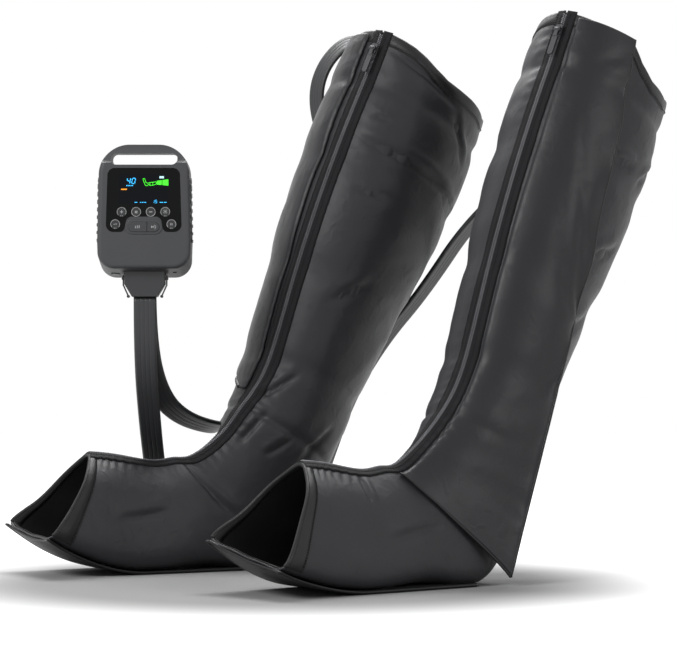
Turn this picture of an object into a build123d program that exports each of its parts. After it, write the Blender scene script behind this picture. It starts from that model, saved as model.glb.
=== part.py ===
"""Leg compression therapy set: a hand-held air pump, its hoses and two leg sleeves.

Units are millimetres, +Z is up and the soles stand on Z = 0. The pump's face
looks along -Y. A sleeve's own directions are u (towards the toes), n (towards
the side that faces -Y) and z (up), turned about Z by the sleeve's yaw.
"""
from build123d import *
from math import cos, sin, radians, tan, pi
import os

os.makedirs("parts", exist_ok=True)


def save(builder, name):
    """Label a finished piece and write it as one STEP file."""
    builder.part.label = name
    export_step(builder.part, f"parts/{name}.step")


# --------------------------------------------------------------- pump sizes
PUMP_X, PUMP_Y, PUMP_Z = -292.0, 27.0, 459.0   # centre, and lowest front edge
CASE_W, CASE_D = 138.0, 62.0                   # width and depth of the case
BODY_TOP = 155.0                               # shoulder under the handle
CASE_TOP = 186.0                               # top of the handle bar
BOTTOM_DROP = 15.0                             # back edge hangs this much lower
CORNER_R = 26.0                                # lower corners of the outline
SHOULDER_R = 46.0                              # upper corners, over the handle
EDGE_R = 7.0                                   # rounding of the front rim
WALL = 2.8
HANDLE_W, HANDLE_H = 100.0, 18.0               # finger window
HANDLE_CUT = 14.0                              # the handle bar is this much slimmer, each side
SPLIT_BACK = 29.0                              # front shell's depth
PANEL_W, PANEL_H, PANEL_T = 114.0, 96.0, 1.6
PANEL_TOP = 150.0
PANEL_R = 11.0
NOTCH_W, NOTCH_H = 60.0, 23.0                  # room for the two-part key
SCREEN_W, SCREEN_H, SCREEN_Z = 74.0, 44.0, 118.5
KEY_D, KEY_GAP, KEY_TRAVEL = 14.6, 0.25, 0.6
KEY_SPOTS = [(-33, 84), (-11.2, 84), (10.6, 84), (32.4, 84), (-42.6, 65.5), (41.6, 65.5)]
PILL_W, PILL_H, PILL_Z = 47.0, 15.0, 61.5
PILL_DIVIDE = 5.0                              # the pill key's split, right of centre
GRIP_Z, GRIP_H, GRIP_T, GRIP_PROUD = 88.0, 98.0, 3.4, 1.4
GRIP_NEAR, GRIP_FAR = 9.0, 53.0                # depths of the side grips
RIB_COUNT, RIB_PITCH = 8, 11.5
BUTTON_D, BUTTON_X, BUTTON_Y, BUTTON_TRAVEL = 14.0, -45.0, 5.0, 1.2
BUTTON_FLANGE_Z = 0.3
JACK_D, JACK_BORE_D, JACK_SPOT, JACK_LENGTH, JACK_END = 10.0, 5.6, (45.0, 24.0), 10.0, 4.0
KEY_PROUD, PILL_PROUD, PILL_GAP, RIM_T = 0.6, 2.2, 0.8, 1.2
FLANGE_NEAR, SWITCH_NEAR, BOARD_NEAR = 4.7, 6.6, 9.0     # depths behind the face
BOARD_W, BOARD_H, BOARD_Z = 104.0, 94.0, 99.0
CELL_D, CELL_L, CELL_Y, CELL_Z = 18.6, 66.0, 9.0, 106.0
CELL_PITCH, WEB_W = 19.1, 14.6
MOTOR_D, MOTOR_L, MOTOR_X, MOTOR_Y, MOTOR_Z = 28.0, 36.0, -56.0, 6.0, 70.0
HEAD_SIZE, HEAD_L, SHAFT_D, SHAFT_GAP = 34.0, 26.0, 4.0, 0.06
CRANK_D, CRANK_THROW = 18.0, 2.0
VALVE_PITCH, MANIFOLD_H, COIL_H, PLUNGER_D = 12.0, 14.0, 12.0, 6.0
PLUNGER_TRAVEL = 1.5
SOCKET_W, SOCKET_D = 58.0, 25.0
NOSE_W, NOSE_D, NOSE_GAP = 50.0, 19.0, 0.3     # the plug's nose, inside the socket
NOSE_TOP, SOCKET_ROOF, PORT_D = 7.0, 11.0, 4.5
FACE_Y = PUMP_Y - CASE_D / 2
BACK_Y = PUMP_Y + CASE_D / 2
SPLIT_Y = FACE_Y + SPLIT_BACK


def face_plane(depth):
    """A plane seen from the front, `depth` behind the case's face."""
    return Plane(origin=(PUMP_X, FACE_Y + depth, PUMP_Z), x_dir=(1, 0, 0), z_dir=(0, -1, 0))


def under_plane(drop):
    """The sloping underside, moved down by `drop`."""
    return Plane(
        origin=(PUMP_X, FACE_Y, PUMP_Z - drop),
        x_dir=(1, 0, 0),
        z_dir=(0, BOTTOM_DROP, CASE_D),
    )


def case_outline(inset=0.0, low=0.0, high=CASE_TOP):
    """The case seen from the front, as a sketch to be added on a face plane."""
    half, waist = CASE_W / 2 - inset, 1.5
    with BuildSketch() as outline:
        with BuildLine():
            FilletPolyline(
                (-half, low + inset), (half, low + inset), (half + waist, 40),
                (half - 2, high - inset), (2 - half, high - inset), (-half - waist, 40),
                radius=[CORNER_R, CORNER_R, 200, SHOULDER_R - inset, SHOULDER_R - inset, 200],
                close=True,
            )
        make_face()
    return outline.sketch


def panel_outline(grow=0.0):
    """The display panel: a rounded plate with a notch for the two-part key."""
    half, top, low = PANEL_W / 2 + grow, PANEL_TOP + grow, PANEL_TOP - PANEL_H - grow
    notch, shelf = NOTCH_W / 2 - grow, PANEL_TOP - PANEL_H + NOTCH_H - grow
    with BuildSketch() as outline:
        with BuildLine():
            FilletPolyline(
                (-half, low), (-notch, low), (5 - notch, shelf), (notch - 5, shelf), (notch, low),
                (half, low), (half - 3, top), (3 - half, top),
                radius=[PANEL_R, 7, 9, 9, 7, PANEL_R, PANEL_R, PANEL_R],
                close=True,
            )
        make_face()
    return outline.sketch


def case_block(inset, near, far):
    """The case as a rounded wedge, inset by a wall, between two depths."""
    slope = BOTTOM_DROP / CASE_D
    with BuildPart() as block:
        with BuildSketch(face_plane(near)):
            add(case_outline(inset, low=-slope * near))
        with BuildSketch(face_plane(far)):
            add(case_outline(inset, low=-slope * far))
        loft(ruled=True)
    return block.part


def front_box(width, height, near, far, at=(0, 0), corner=1.0):
    """A rounded plate parallel to the face, from depth `near` to depth `far`."""
    with BuildPart() as box:
        with BuildSketch(face_plane(far)):
            with Locations(at):
                RectangleRounded(width, height, corner)
        extrude(amount=far - near)
    return box.part


def front_disc(diameter, near, far, at):
    """A disc parallel to the face, from depth `near` to depth `far`."""
    with BuildPart() as disc:
        with BuildSketch(face_plane(far)):
            with Locations(at):
                Circle(diameter / 2)
        extrude(amount=far - near)
    return disc.part


def level(height):
    """A horizontal plane at mid depth, at a height above the case's lower front edge."""
    return Plane(origin=(PUMP_X, PUMP_Y, PUMP_Z + height))


# ------------------------------------------------------------ case of the pump
CAVITY_NEAR = WALL + PANEL_T
with BuildPart() as grip_band:
    add(case_block(-GRIP_PROUD, GRIP_NEAR, GRIP_FAR))
    add(case_block(GRIP_T - GRIP_PROUD, GRIP_NEAR, GRIP_FAR), mode=Mode.SUBTRACT)
    with BuildSketch(Plane.YZ.offset(PUMP_X)):
        with Locations((PUMP_Y, PUMP_Z + GRIP_Z)):
            RectangleRounded(GRIP_FAR - GRIP_NEAR - 1, GRIP_H, 12)
    extrude(amount=CASE_W, both=True, mode=Mode.INTERSECT)

# hollow body, closed above by a flat roof
with BuildPart() as cavity:
    add(case_block(WALL + 1.5, CAVITY_NEAR, CASE_D - WALL))
    split(bisect_by=level(BODY_TOP - 5), keep=Keep.BOTTOM)

with BuildPart() as case:
    add(case_block(0, 0, CASE_D))
    fillet(case.faces().filter_by(Axis.Y).edges(), radius=EDGE_R)
    # finger window under the handle bar, and a bar slimmer than the body
    with BuildSketch(face_plane(CASE_D + 1)):
        with Locations((0, BODY_TOP + HANDLE_H / 2)):
            RectangleRounded(HANDLE_W, HANDLE_H, HANDLE_H / 2 - 0.6)
    extrude(amount=CASE_D + 2, mode=Mode.SUBTRACT)
    with BuildSketch(Plane.YZ.offset(PUMP_X)):
        for side in (-1, 1):
            with Locations((PUMP_Y + side * CASE_D / 2, PUMP_Z + CASE_TOP)):
                Ellipse(HANDLE_CUT, CASE_TOP - BODY_TOP - 3)
    extrude(amount=CASE_W, both=True, mode=Mode.SUBTRACT)
    add(cavity.part, mode=Mode.SUBTRACT)
    add(grip_band.part, mode=Mode.SUBTRACT)
    # socket window and power button hole below, and the jack's hole in the back
    with BuildSketch(level(-30)):
        RectangleRounded(SOCKET_W, SOCKET_D, 3)
        with Locations((BUTTON_X, BUTTON_Y)):
            Circle(BUTTON_D / 2 + KEY_GAP)
    extrude(amount=40, mode=Mode.SUBTRACT)
    add(front_disc(JACK_D, CASE_D - WALL - 1, CASE_D + 1, JACK_SPOT), mode=Mode.SUBTRACT)

with BuildPart() as front_housing:
    add(case.part)
    split(bisect_by=Plane.XZ.offset(-SPLIT_Y), keep=Keep.TOP)
    # raised rim around the two-part key
    with BuildSketch(face_plane(1)):
        with Locations((0, PILL_Z)):
            SlotOverall(PILL_W + 9, PILL_H + 7)
    extrude(amount=1 + RIM_T)
    fillet(front_housing.faces().sort_by(Axis.Y)[0].edges(), radius=RIM_T * 0.8)
    # seat for the display panel, then holes for every key
    with BuildSketch(face_plane(PANEL_T)):
        add(panel_outline())
    extrude(amount=PANEL_T, mode=Mode.SUBTRACT)
    with BuildSketch(face_plane(CAVITY_NEAR + 1)):
        with Locations(KEY_SPOTS):
            Circle(KEY_D / 2 + KEY_GAP)
        with Locations((0, PILL_Z)):
            SlotOverall(PILL_W + 2 * KEY_GAP, PILL_H + 2 * KEY_GAP)
    extrude(amount=CAVITY_NEAR + 3, mode=Mode.SUBTRACT)
save(front_housing, "front_housing")

# cradle ribs on the back wall: a profile in the YZ plane, with round seats cut in it
CRADLE_T, CRADLE_GAP, CRADLE_BACK = 3.0, 0.3, CASE_D / 2 - WALL + 1.0
cell_spots = [(PUMP_Y + CELL_Y, PUMP_Z + CELL_Z + row * CELL_PITCH) for row in (0, 1)]
motor_spots = [(PUMP_Y + MOTOR_Y, PUMP_Z + MOTOR_Z)]
CRADLES = [
    (-CELL_L / 3, 6, CELL_Z + CELL_PITCH / 2, CELL_D * 1.8, CELL_D / 2, cell_spots),
    (CELL_L / 3, 6, CELL_Z + CELL_PITCH / 2, CELL_D * 1.8, CELL_D / 2, cell_spots),
    (MOTOR_X + 8, MOTOR_Y, MOTOR_Z, MOTOR_D * 0.8, MOTOR_D / 2, motor_spots),
    (MOTOR_X + MOTOR_L - 8, MOTOR_Y, MOTOR_Z, MOTOR_D * 0.8, MOTOR_D / 2, motor_spots),
]

with BuildPart() as rear_housing:
    add(case.part)
    split(bisect_by=Plane.XZ.offset(-SPLIT_Y), keep=Keep.BOTTOM)
    for x, front, middle, height, radius, spots in CRADLES:
        with BuildSketch(Plane.YZ.offset(PUMP_X + x)):
            with Locations((PUMP_Y + (front + CRADLE_BACK) / 2, PUMP_Z + middle)):
                Rectangle(CRADLE_BACK - front, height)
            with Locations(spots):
                Circle(radius + CRADLE_GAP, mode=Mode.SUBTRACT)
            if spots is cell_spots:
                with Locations((PUMP_Y + CELL_Y, PUMP_Z + middle)):
                    Rectangle(WEB_W + 2 * CRADLE_GAP, CELL_PITCH, mode=Mode.SUBTRACT)
        extrude(amount=CRADLE_T)
save(rear_housing, "rear_housing")

for side, name in ((-1, "grip_left"), (1, "grip_right")):
    with BuildPart() as grip:
        add(grip_band.part)
        cut = Plane.YZ.offset(PUMP_X)
        split(bisect_by=cut, keep=Keep.TOP if side > 0 else Keep.BOTTOM)
        # finger ribs: shallow grooves across the grip
        with BuildSketch(Plane.XZ.offset(-BACK_Y)):
            for rib in range(RIB_COUNT):
                rise = (rib - (RIB_COUNT - 1) / 2) * RIB_PITCH
                with Locations((PUMP_X + side * (CASE_W / 2 + 4.6), PUMP_Z + GRIP_Z + rise)):
                    Circle(4.4)
        extrude(amount=CASE_D, mode=Mode.SUBTRACT)
    save(grip, name)

# ------------------------------------------------------ display, keys and board
with BuildPart() as display_panel:
    with BuildSketch(face_plane(PANEL_T)):
        add(panel_outline())
        with Locations((0, SCREEN_Z)):
            Rectangle(SCREEN_W, SCREEN_H, mode=Mode.SUBTRACT)
        with Locations(KEY_SPOTS):
            Circle(KEY_D / 2 + KEY_GAP, mode=Mode.SUBTRACT)
    extrude(amount=PANEL_T + 0.3)
save(display_panel, "display_panel")

with BuildPart() as screen:
    add(front_box(SCREEN_W, SCREEN_H, 0, PANEL_T, (0, SCREEN_Z), 0.01))
save(screen, "screen")

for number, spot in enumerate(KEY_SPOTS, start=1):
    with BuildPart() as key:
        add(front_disc(KEY_D, -KEY_PROUD, FLANGE_NEAR, spot))
        fillet(key.faces().sort_by(Axis.Y)[0].edges(), radius=0.4)
        add(front_disc(KEY_D + 2.4, FLANGE_NEAR, FLANGE_NEAR + 1, spot))
    save(key, f"key_{number}")

for side, name in ((-1, "pill_key_left"), (1, "pill_key_right")):
    with BuildPart() as pill_key:
        with BuildSketch(face_plane(FLANGE_NEAR)):
            with Locations((0, PILL_Z)):
                SlotOverall(PILL_W, PILL_H)
        extrude(amount=FLANGE_NEAR + PILL_PROUD)
        fillet(pill_key.faces().sort_by(Axis.Y)[0].edges(), radius=0.8)
        add(front_box(PILL_W + 2, PILL_H + 2, FLANGE_NEAR, FLANGE_NEAR + 1, (0, PILL_Z)))
        divide = Plane.YZ.offset(PUMP_X + PILL_DIVIDE + side * PILL_GAP / 2)
        split(bisect_by=divide, keep=Keep.TOP if side > 0 else Keep.BOTTOM)
    save(pill_key, name)

with BuildPart() as main_board:
    add(front_box(BOARD_W, BOARD_H, BOARD_NEAR, BOARD_NEAR + 1.6, (0, BOARD_Z), 3))
    for spot in KEY_SPOTS + [(-9, PILL_Z), (15, PILL_Z)]:
        add(front_disc(6, SWITCH_NEAR, BOARD_NEAR, spot))
    for spot in ((-30, 120), (6, 122), (34, 112)):
        add(front_box(14, 12, BOARD_NEAR + 1.6, BOARD_NEAR + 3.4, spot, 0.5))
save(main_board, "main_board")

# -------------------------------------------------------- air side of the pump
with BuildPart() as battery_pack:
    with BuildSketch(Plane.YZ.offset(PUMP_X - CELL_L / 2)):
        with Locations(cell_spots):
            Circle(CELL_D / 2)
        with Locations((PUMP_Y + CELL_Y, PUMP_Z + CELL_Z + CELL_PITCH / 2)):
            Rectangle(WEB_W, CELL_PITCH)
    extrude(amount=CELL_L)
save(battery_pack, "battery_pack")

with BuildPart() as air_pump:
    with BuildSketch(Plane.YZ.offset(PUMP_X + MOTOR_X)):
        with Locations((PUMP_Y + MOTOR_Y, PUMP_Z + MOTOR_Z)):
            Circle(MOTOR_D / 2)
    extrude(amount=MOTOR_L)
    with BuildSketch(Plane.YZ.offset(PUMP_X + MOTOR_X + MOTOR_L)):
        with Locations((PUMP_Y + MOTOR_Y, PUMP_Z + MOTOR_Z)):
            RectangleRounded(HEAD_SIZE, HEAD_SIZE, 5)
    extrude(amount=HEAD_L)
    with BuildSketch(Plane.YZ.offset(PUMP_X + MOTOR_X + MOTOR_L + 3)):
        with Locations((PUMP_Y + MOTOR_Y, PUMP_Z + MOTOR_Z)):
            Circle(HEAD_SIZE / 2 - 4)
    extrude(amount=HEAD_L, mode=Mode.SUBTRACT)
    with BuildSketch(Plane.YZ.offset(PUMP_X + MOTOR_X + 6)):
        with Locations((PUMP_Y + MOTOR_Y, PUMP_Z + MOTOR_Z)):
            Circle(SHAFT_D / 2 + SHAFT_GAP)
    extrude(amount=MOTOR_L, mode=Mode.SUBTRACT)
save(air_pump, "air_pump")

with BuildPart() as pump_crank:
    with BuildSketch(Plane.YZ.offset(PUMP_X + MOTOR_X + 7)):
        with Locations((PUMP_Y + MOTOR_Y, PUMP_Z + MOTOR_Z)):
            Circle(SHAFT_D / 2)
    extrude(amount=MOTOR_L + HEAD_L - 10)
    with BuildSketch(Plane.YZ.offset(PUMP_X + MOTOR_X + MOTOR_L + 8)):
        with Locations((PUMP_Y + MOTOR_Y, PUMP_Z + MOTOR_Z + CRANK_THROW)):
            Circle(CRANK_D / 2)
    extrude(amount=8)
save(pump_crank, "pump_crank")

with BuildPart() as valve_manifold:
    with BuildSketch(level(SOCKET_ROOF)):
        RectangleRounded(VALVE_PITCH * 4, 20, 2)
    extrude(amount=MANIFOLD_H)
    with BuildSketch(level(SOCKET_ROOF + MANIFOLD_H)):
        with GridLocations(VALVE_PITCH, 1, 4, 1):
            Circle(5.4)
    extrude(amount=COIL_H)
    with BuildSketch(level(SOCKET_ROOF + 4)):
        with GridLocations(VALVE_PITCH, 1, 4, 1):
            Circle(PLUNGER_D / 2 + SHAFT_GAP)
    extrude(amount=MANIFOLD_H + COIL_H, mode=Mode.SUBTRACT)
save(valve_manifold, "valve_manifold")

for number in range(4):
    with BuildPart() as plunger:
        with BuildSketch(level(SOCKET_ROOF + 5.5)):
            with Locations(((number - 1.5) * VALVE_PITCH, 0)):
                Circle(PLUNGER_D / 2)
        extrude(amount=MANIFOLD_H + COIL_H - 4)
    save(plunger, f"valve_plunger_{number + 1}")

with BuildPart() as hose_socket:
    with BuildSketch(level(-30)):
        RectangleRounded(SOCKET_W, SOCKET_D, 3)
    extrude(amount=30 + SOCKET_ROOF)
    split(bisect_by=under_plane(-0.3), keep=Keep.TOP)
    with BuildSketch(level(-30)):
        RectangleRounded(NOSE_W + 2 * NOSE_GAP, NOSE_D + 2 * NOSE_GAP, 2.4)
    extrude(amount=30 + NOSE_TOP + NOSE_GAP, mode=Mode.SUBTRACT)
    with BuildSketch(level(0)):
        with GridLocations(VALVE_PITCH, 1, 4, 1):
            Circle(PORT_D / 2)
    extrude(amount=SOCKET_ROOF, mode=Mode.SUBTRACT)
save(hose_socket, "hose_socket")

with BuildPart() as dc_jack:
    add(front_disc(JACK_D, CASE_D - JACK_LENGTH - JACK_END, CASE_D, JACK_SPOT))
    add(front_disc(JACK_BORE_D, CASE_D - JACK_LENGTH, CASE_D, JACK_SPOT), mode=Mode.SUBTRACT)
save(dc_jack, "dc_jack")

with BuildPart() as power_button:
    with BuildSketch(level(-20)):
        with Locations((BUTTON_X, BUTTON_Y)):
            Circle(BUTTON_D / 2)
    extrude(amount=20 + BUTTON_FLANGE_Z)
    split(bisect_by=under_plane(1.0), keep=Keep.TOP)
    with BuildSketch(level(BUTTON_FLANGE_Z)):
        with Locations((BUTTON_X, BUTTON_Y)):
            Circle(BUTTON_D / 2 + 1.6)
    extrude(amount=1.5)
save(power_button, "power_button")

# --------------------------------------------------------------- sleeve sizes
# A station is one cross-section of a sleeve, from the open toe to the top hem:
# centre (u, z), tilt of its front axis above the floor, half size from back to
# front, half width, how far it is a flat-soled tent instead of an ellipse, and
# how much of the leg's twist it has.
STATIONS = {
    "toe": ((234, 110), 124, 83, 86, 1.0, 0.0),
    "ball": ((160, 93), 104, 83, 84, 0.95, 0.0),
    "mid": ((84, 84), 92, 80, 82, 0.85, 0.0),
    "instep": ((24, 86), 74, 85, 80, 0.7, 0.1),
    "heel": ((-36, 89), 56, 101, 81, 0.75, 0.3),
    "hock": ((-96, 144), 42, 98, 81, 0.4, 0.55),
    "ankle": ((-130, 198), 33, 95, 82, 0.1, 0.8),
    "shin": ((-168, 272), 27, 93, 86, 0.0, 1.0),
    "calf": ((-228, 412), 24.5, 110, 97, 0.0, 1.0),
    "knee": ((-306, 585), 24.5, 129, 113, 0.0, 1.0),
    "thigh": ((-361, 710), 25.5, 129, 112, 0.0, 1.0),
    "top": ((-385, 768), 26, 128, 106, 0.0, 1.0),
}
FOOT = ["toe", "ball", "mid", "instep", "heel", "hock", "ankle"]
LEG = ["heel", "hock", "ankle", "shin", "calf", "knee", "thigh", "top"]   # cut at the ankle
TENT = [(1, 0), (0.80, 0.30), (0.42, 0.60), (-0.2, 0.84), (-0.93, 1.0), (-1, 0.5), (-1, 0)]
COVER_T, CHAMBER_T, LINING_T = 3.0, 5.0, 2.0
SOLE_T, SOLE_FLAT, SOLE_TIP, SOLE_RISE = 5.0, 120.0, 279.0, 36.0
HEEL_U, SOLE_HALF_W = -84.0, 79.0
SEAM = 1.5                                     # half gap between two air chambers
TAPE_W, TAPE_T, TEETH_W, TEETH_T, TAPE_GAP = 34.0, 1.2, 7.0, 2.2, 3.0
FLAP_T, FLAP_FROM = 3.0, 14.0                  # the angle is round the leg, from the zip
FELL_ANGLE, FELL_GAP = 5.0, 0.3
SLIDER_L, SLIDER_W, SLIDER_T, SLIDER_DROP = 17.0, 12.0, 2.6, 14.0
SLIDER_LIFT = {"left": 9.6, "right": 7.3}        # clears the teeth over the whole travel
PIN_D, PIN_SPAN = 2.6, 8.6
PULL_L, PULL_W, PULL_T = 34.0, 9.0, 2.6


class Sleeve:
    """Where one leg sleeve stands, and the planes of its stations."""

    def __init__(self, name, ankle, yaw, twist, girth, flap_side, flap_to, flap_gap, flap_low):
        self.name, self.ankle, self.twist, self.girth = name, ankle, twist, girth
        self.flap_side, self.flap_to = flap_side, flap_to
        self.flap_gap, self.flap_low = flap_gap, flap_low
        self.tubes = {}
        turn = radians(yaw)
        self.forward = Vector(-cos(turn), -sin(turn), 0)
        self.near = Vector(sin(turn), -cos(turn), 0)

    def point(self, u, n, z):
        """A point given by the sleeve's own directions."""
        return Vector(*self.ankle, 0) + self.forward * u + self.near * n + Vector(0, 0, z)

    def plane(self, station):
        """A station's plane: x points to the zip, y to the near side, z up the sleeve."""
        (u, z), tilt, _, _, _, share = STATIONS[station]
        turn, lift = radians(self.twist * share), radians(tilt)
        front = self.forward * cos(lift) + Vector(0, 0, sin(lift))
        axis = Vector(0, 0, cos(lift)) - self.forward * sin(lift)
        x_dir = front * cos(turn) + self.near * sin(turn)
        return Plane(origin=self.point(u, 0, z), x_dir=x_dir, z_dir=axis)

    def halves(self, station, shrink=0.0):
        """A station's two half sizes, pulled in by `shrink`."""
        _, _, deep, wide, _, _ = STATIONS[station]
        girth = 1 if station in FOOT[:-1] else self.girth
        return deep * girth - shrink, wide * girth - shrink

    def rim(self, station, shrink=0.0):
        """The twelve points of a station's outline, in its own plane."""
        deep, wide = self.halves(station, shrink)
        tent = STATIONS[station][4]
        points = []
        for step in range(12):
            mirrored = step > 6
            x, y = TENT[12 - step if mirrored else step]
            y = -y if mirrored else y
            angle = step * pi / 6
            points.append((
                deep * (tent * x + (1 - tent) * cos(angle)),
                wide * (tent * y + (1 - tent) * sin(angle)),
            ))
        return points

    def tube(self, stations, shrink):
        """A solid through some stations, pulled in by `shrink`, made once and kept."""
        made = (stations[0], shrink)
        if made not in self.tubes:
            with BuildPart() as body:
                for station in stations:
                    with BuildSketch(self.plane(station)):
                        with BuildLine():
                            Spline(*self.rim(station, shrink), periodic=True)
                        make_face()
                loft()
            self.tubes[made] = body.part
        return self.tubes[made]

    def wall(self, stations, outer, inner, *cuts):
        """The wall between two depths below the surface, kept on one side of each cut."""
        with BuildPart() as shell:
            add(self.tube(stations, outer))
            if stations is LEG:
                add(self.tube(stations, inner), mode=Mode.SUBTRACT)
            for cut, kept in cuts:
                split(bisect_by=cut, keep=kept)
            if stations is FOOT:
                add(self.tube(stations, inner), mode=Mode.SUBTRACT)
        return shell.part

    def around(self, angle):
        """A plane through the leg's axis, facing away from the zip at an angle round it."""
        low, high = self.plane("calf"), self.plane("top")
        turn = radians(angle)
        across = low.y_dir * cos(turn) - low.x_dir * sin(turn)
        axis = high.origin - low.origin
        return Plane(origin=low.origin, x_dir=axis, z_dir=across)

    def on_leg(self, station, angle, height):
        """A point at a height above the cover, at an angle round a station."""
        deep, wide = self.halves(station, -height)
        frame = self.plane(station)
        turn = radians(angle)
        return frame.from_local_coords(Vector(deep * cos(turn), wide * sin(turn), 0))

    def strip(self, stations, width, low, high):
        """A flat strip along the zip line, between two heights above the cover."""
        with BuildPart() as body:
            for station in stations:
                deep = self.halves(station)[0]
                with BuildSketch(self.plane(station)):
                    with Locations((deep + (low + high) / 2, 0)):
                        Rectangle(high - low, width)
            loft(ruled=True)
        return body.part


SLEEVES = [
    Sleeve("left", (-214.0, 126.0), 28, 30, 1.05, flap_side=-1, flap_to=92, flap_gap=9.0, flap_low=40.0),
    Sleeve("right", (95.0, -192.0), 38, 15, 0.95, flap_side=1, flap_to=105, flap_gap=5.0, flap_low=-90.0),
]

for sleeve in SLEEVES:
    floor = Plane(origin=sleeve.point(0, 0, 0), x_dir=sleeve.forward, z_dir=(0, 0, 1))
    side = Plane(origin=sleeve.point(0, 0, 0), x_dir=sleeve.forward, z_dir=-sleeve.near)

    with BuildPart() as sole:
        with BuildSketch(side):
            with BuildLine():
                heel = Line((HEEL_U, SOLE_T), (HEEL_U, 0))
                tread = Line((HEEL_U, 0), (SOLE_FLAT, 0))
                curl = Spline(
                    (SOLE_FLAT, 0), ((SOLE_FLAT + SOLE_TIP) / 2, SOLE_RISE / 4),
                    (SOLE_TIP, SOLE_RISE), tangents=[(1, 0), (1, 0.5)],
                )
                tip = Line(curl @ 1, curl @ 1 + (-1.5, SOLE_T))
                top = Spline(
                    tip @ 1, ((SOLE_FLAT + SOLE_TIP) / 2, SOLE_RISE / 4 + SOLE_T),
                    (SOLE_FLAT, SOLE_T), tangents=[(-1, -0.5), (-1, 0)],
                )
                Line((SOLE_FLAT, SOLE_T), (HEEL_U, SOLE_T))
            make_face()
        extrude(amount=SOLE_HALF_W, both=True)
        with BuildSketch(floor):
            with Locations(((HEEL_U + SOLE_TIP) / 2, 0)):
                RectangleRounded(SOLE_TIP - HEEL_U, 2 * SOLE_HALF_W, 22)
        extrude(amount=SOLE_RISE + 2 * SOLE_T, mode=Mode.INTERSECT)
    save(sole, f"{sleeve.name}_sole")

    ankle, calf, knee = (sleeve.plane(station) for station in ("ankle", "calf", "knee"))
    ball = sleeve.plane("ball")
    inner = COVER_T + CHAMBER_T
    above, below = (ankle, Keep.TOP), (ankle, Keep.BOTTOM)
    walls = {
        "cover_leg": (LEG, 0, COVER_T, above),
        "chamber_foot": (FOOT, COVER_T, inner, (ball, Keep.TOP), (ankle.offset(-SEAM), Keep.BOTTOM)),
        "chamber_calf": (LEG, COVER_T, inner, above, (calf.offset(-SEAM), Keep.BOTTOM)),
        "chamber_knee": (LEG, COVER_T, inner, (calf, Keep.TOP), (knee.offset(-SEAM), Keep.BOTTOM)),
        "chamber_thigh": (LEG, COVER_T, inner, (knee, Keep.TOP)),
        "lining": (LEG, inner, inner + LINING_T, above),
    }
    for name, layers in walls.items():
        with BuildPart() as layer:
            add(sleeve.wall(*layers))
            add(sole.part, mode=Mode.SUBTRACT)
        save(layer, f"{sleeve.name}_{name}")

    with BuildPart() as cover_foot:
        add(sleeve.wall(FOOT, 0, COVER_T, below))
        add(sole.part, mode=Mode.SUBTRACT)
        split(bisect_by=floor.offset(0.5), keep=Keep.TOP)
    save(cover_foot, f"{sleeve.name}_cover_foot")

    # the flap is sewn beside the zip and lies round the side of the leg
    flap_low, fell_low = sleeve.plane("shin").offset(sleeve.flap_low), max(sleeve.flap_low, 0)
    start = Keep.TOP if sleeve.flap_side > 0 else Keep.BOTTOM
    stop = Keep.BOTTOM if sleeve.flap_side > 0 else Keep.TOP
    with BuildPart() as flap:
        for gap, reach, low in (
            (sleeve.flap_gap, sleeve.flap_to, flap_low),
            (FELL_GAP, FLAP_FROM + FELL_ANGLE, sleeve.plane("shin").offset(fell_low)),
        ):
            add(sleeve.wall(
                LEG, -sleeve.flap_gap - FLAP_T, -gap, (low, Keep.TOP),
                (sleeve.around(sleeve.flap_side * FLAP_FROM), start),
                (sleeve.around(sleeve.flap_side * reach), stop),
            ))
    save(flap, f"{sleeve.name}_flap")

    # zip: flat strips over the foot and ankle, then bands that follow the leg
    middle, front = sleeve.around(0), sleeve.around(-90)
    bands = {
        "zip_tape": (TAPE_W, TAPE_GAP, TAPE_GAP + TAPE_T),
        "zip_teeth": (TEETH_W, TAPE_GAP + TAPE_T, TAPE_GAP + TAPE_T + TEETH_T),
    }
    for name, (width, low, high) in bands.items():
        with BuildPart() as band:
            add(sleeve.wall(
                LEG, -high, -low, (sleeve.plane("shin").offset(-2), Keep.TOP), (front, Keep.TOP),
                (middle.offset(-width / 2), Keep.TOP), (middle.offset(width / 2), Keep.BOTTOM),
            ))
            add(sleeve.strip(FOOT + ["shin"], width, low, high))
        save(band, f"{sleeve.name}_{name}")

    # zip slider and its pull, at the top of the run
    top = sleeve.plane("top")
    zip_top = sleeve.on_leg("top", 0, 0)
    down = (sleeve.on_leg("thigh", 0, 0) - zip_top).normalized()
    out = (top.x_dir - down * top.x_dir.dot(down)).normalized()
    lift = SLIDER_LIFT[sleeve.name]
    seat = Plane(origin=zip_top + down * SLIDER_DROP + out * lift, x_dir=down, z_dir=out)
    with BuildPart() as zip_slider:
        with BuildSketch(seat):
            RectangleRounded(SLIDER_L, SLIDER_W, 3)
        extrude(amount=SLIDER_T)
        with BuildSketch(seat.offset(SLIDER_T)):
            with GridLocations(1, PIN_SPAN, 1, 2):
                Rectangle(6, 1.6)
        extrude(amount=4.4)
        pin = Plane(origin=seat.from_local_coords((0, -PIN_SPAN / 2, SLIDER_T + 2.8)), z_dir=seat.y_dir)
        with BuildSketch(pin):
            Circle(PIN_D / 2)
        extrude(amount=PIN_SPAN)
    save(zip_slider, f"{sleeve.name}_zip_slider")

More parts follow.
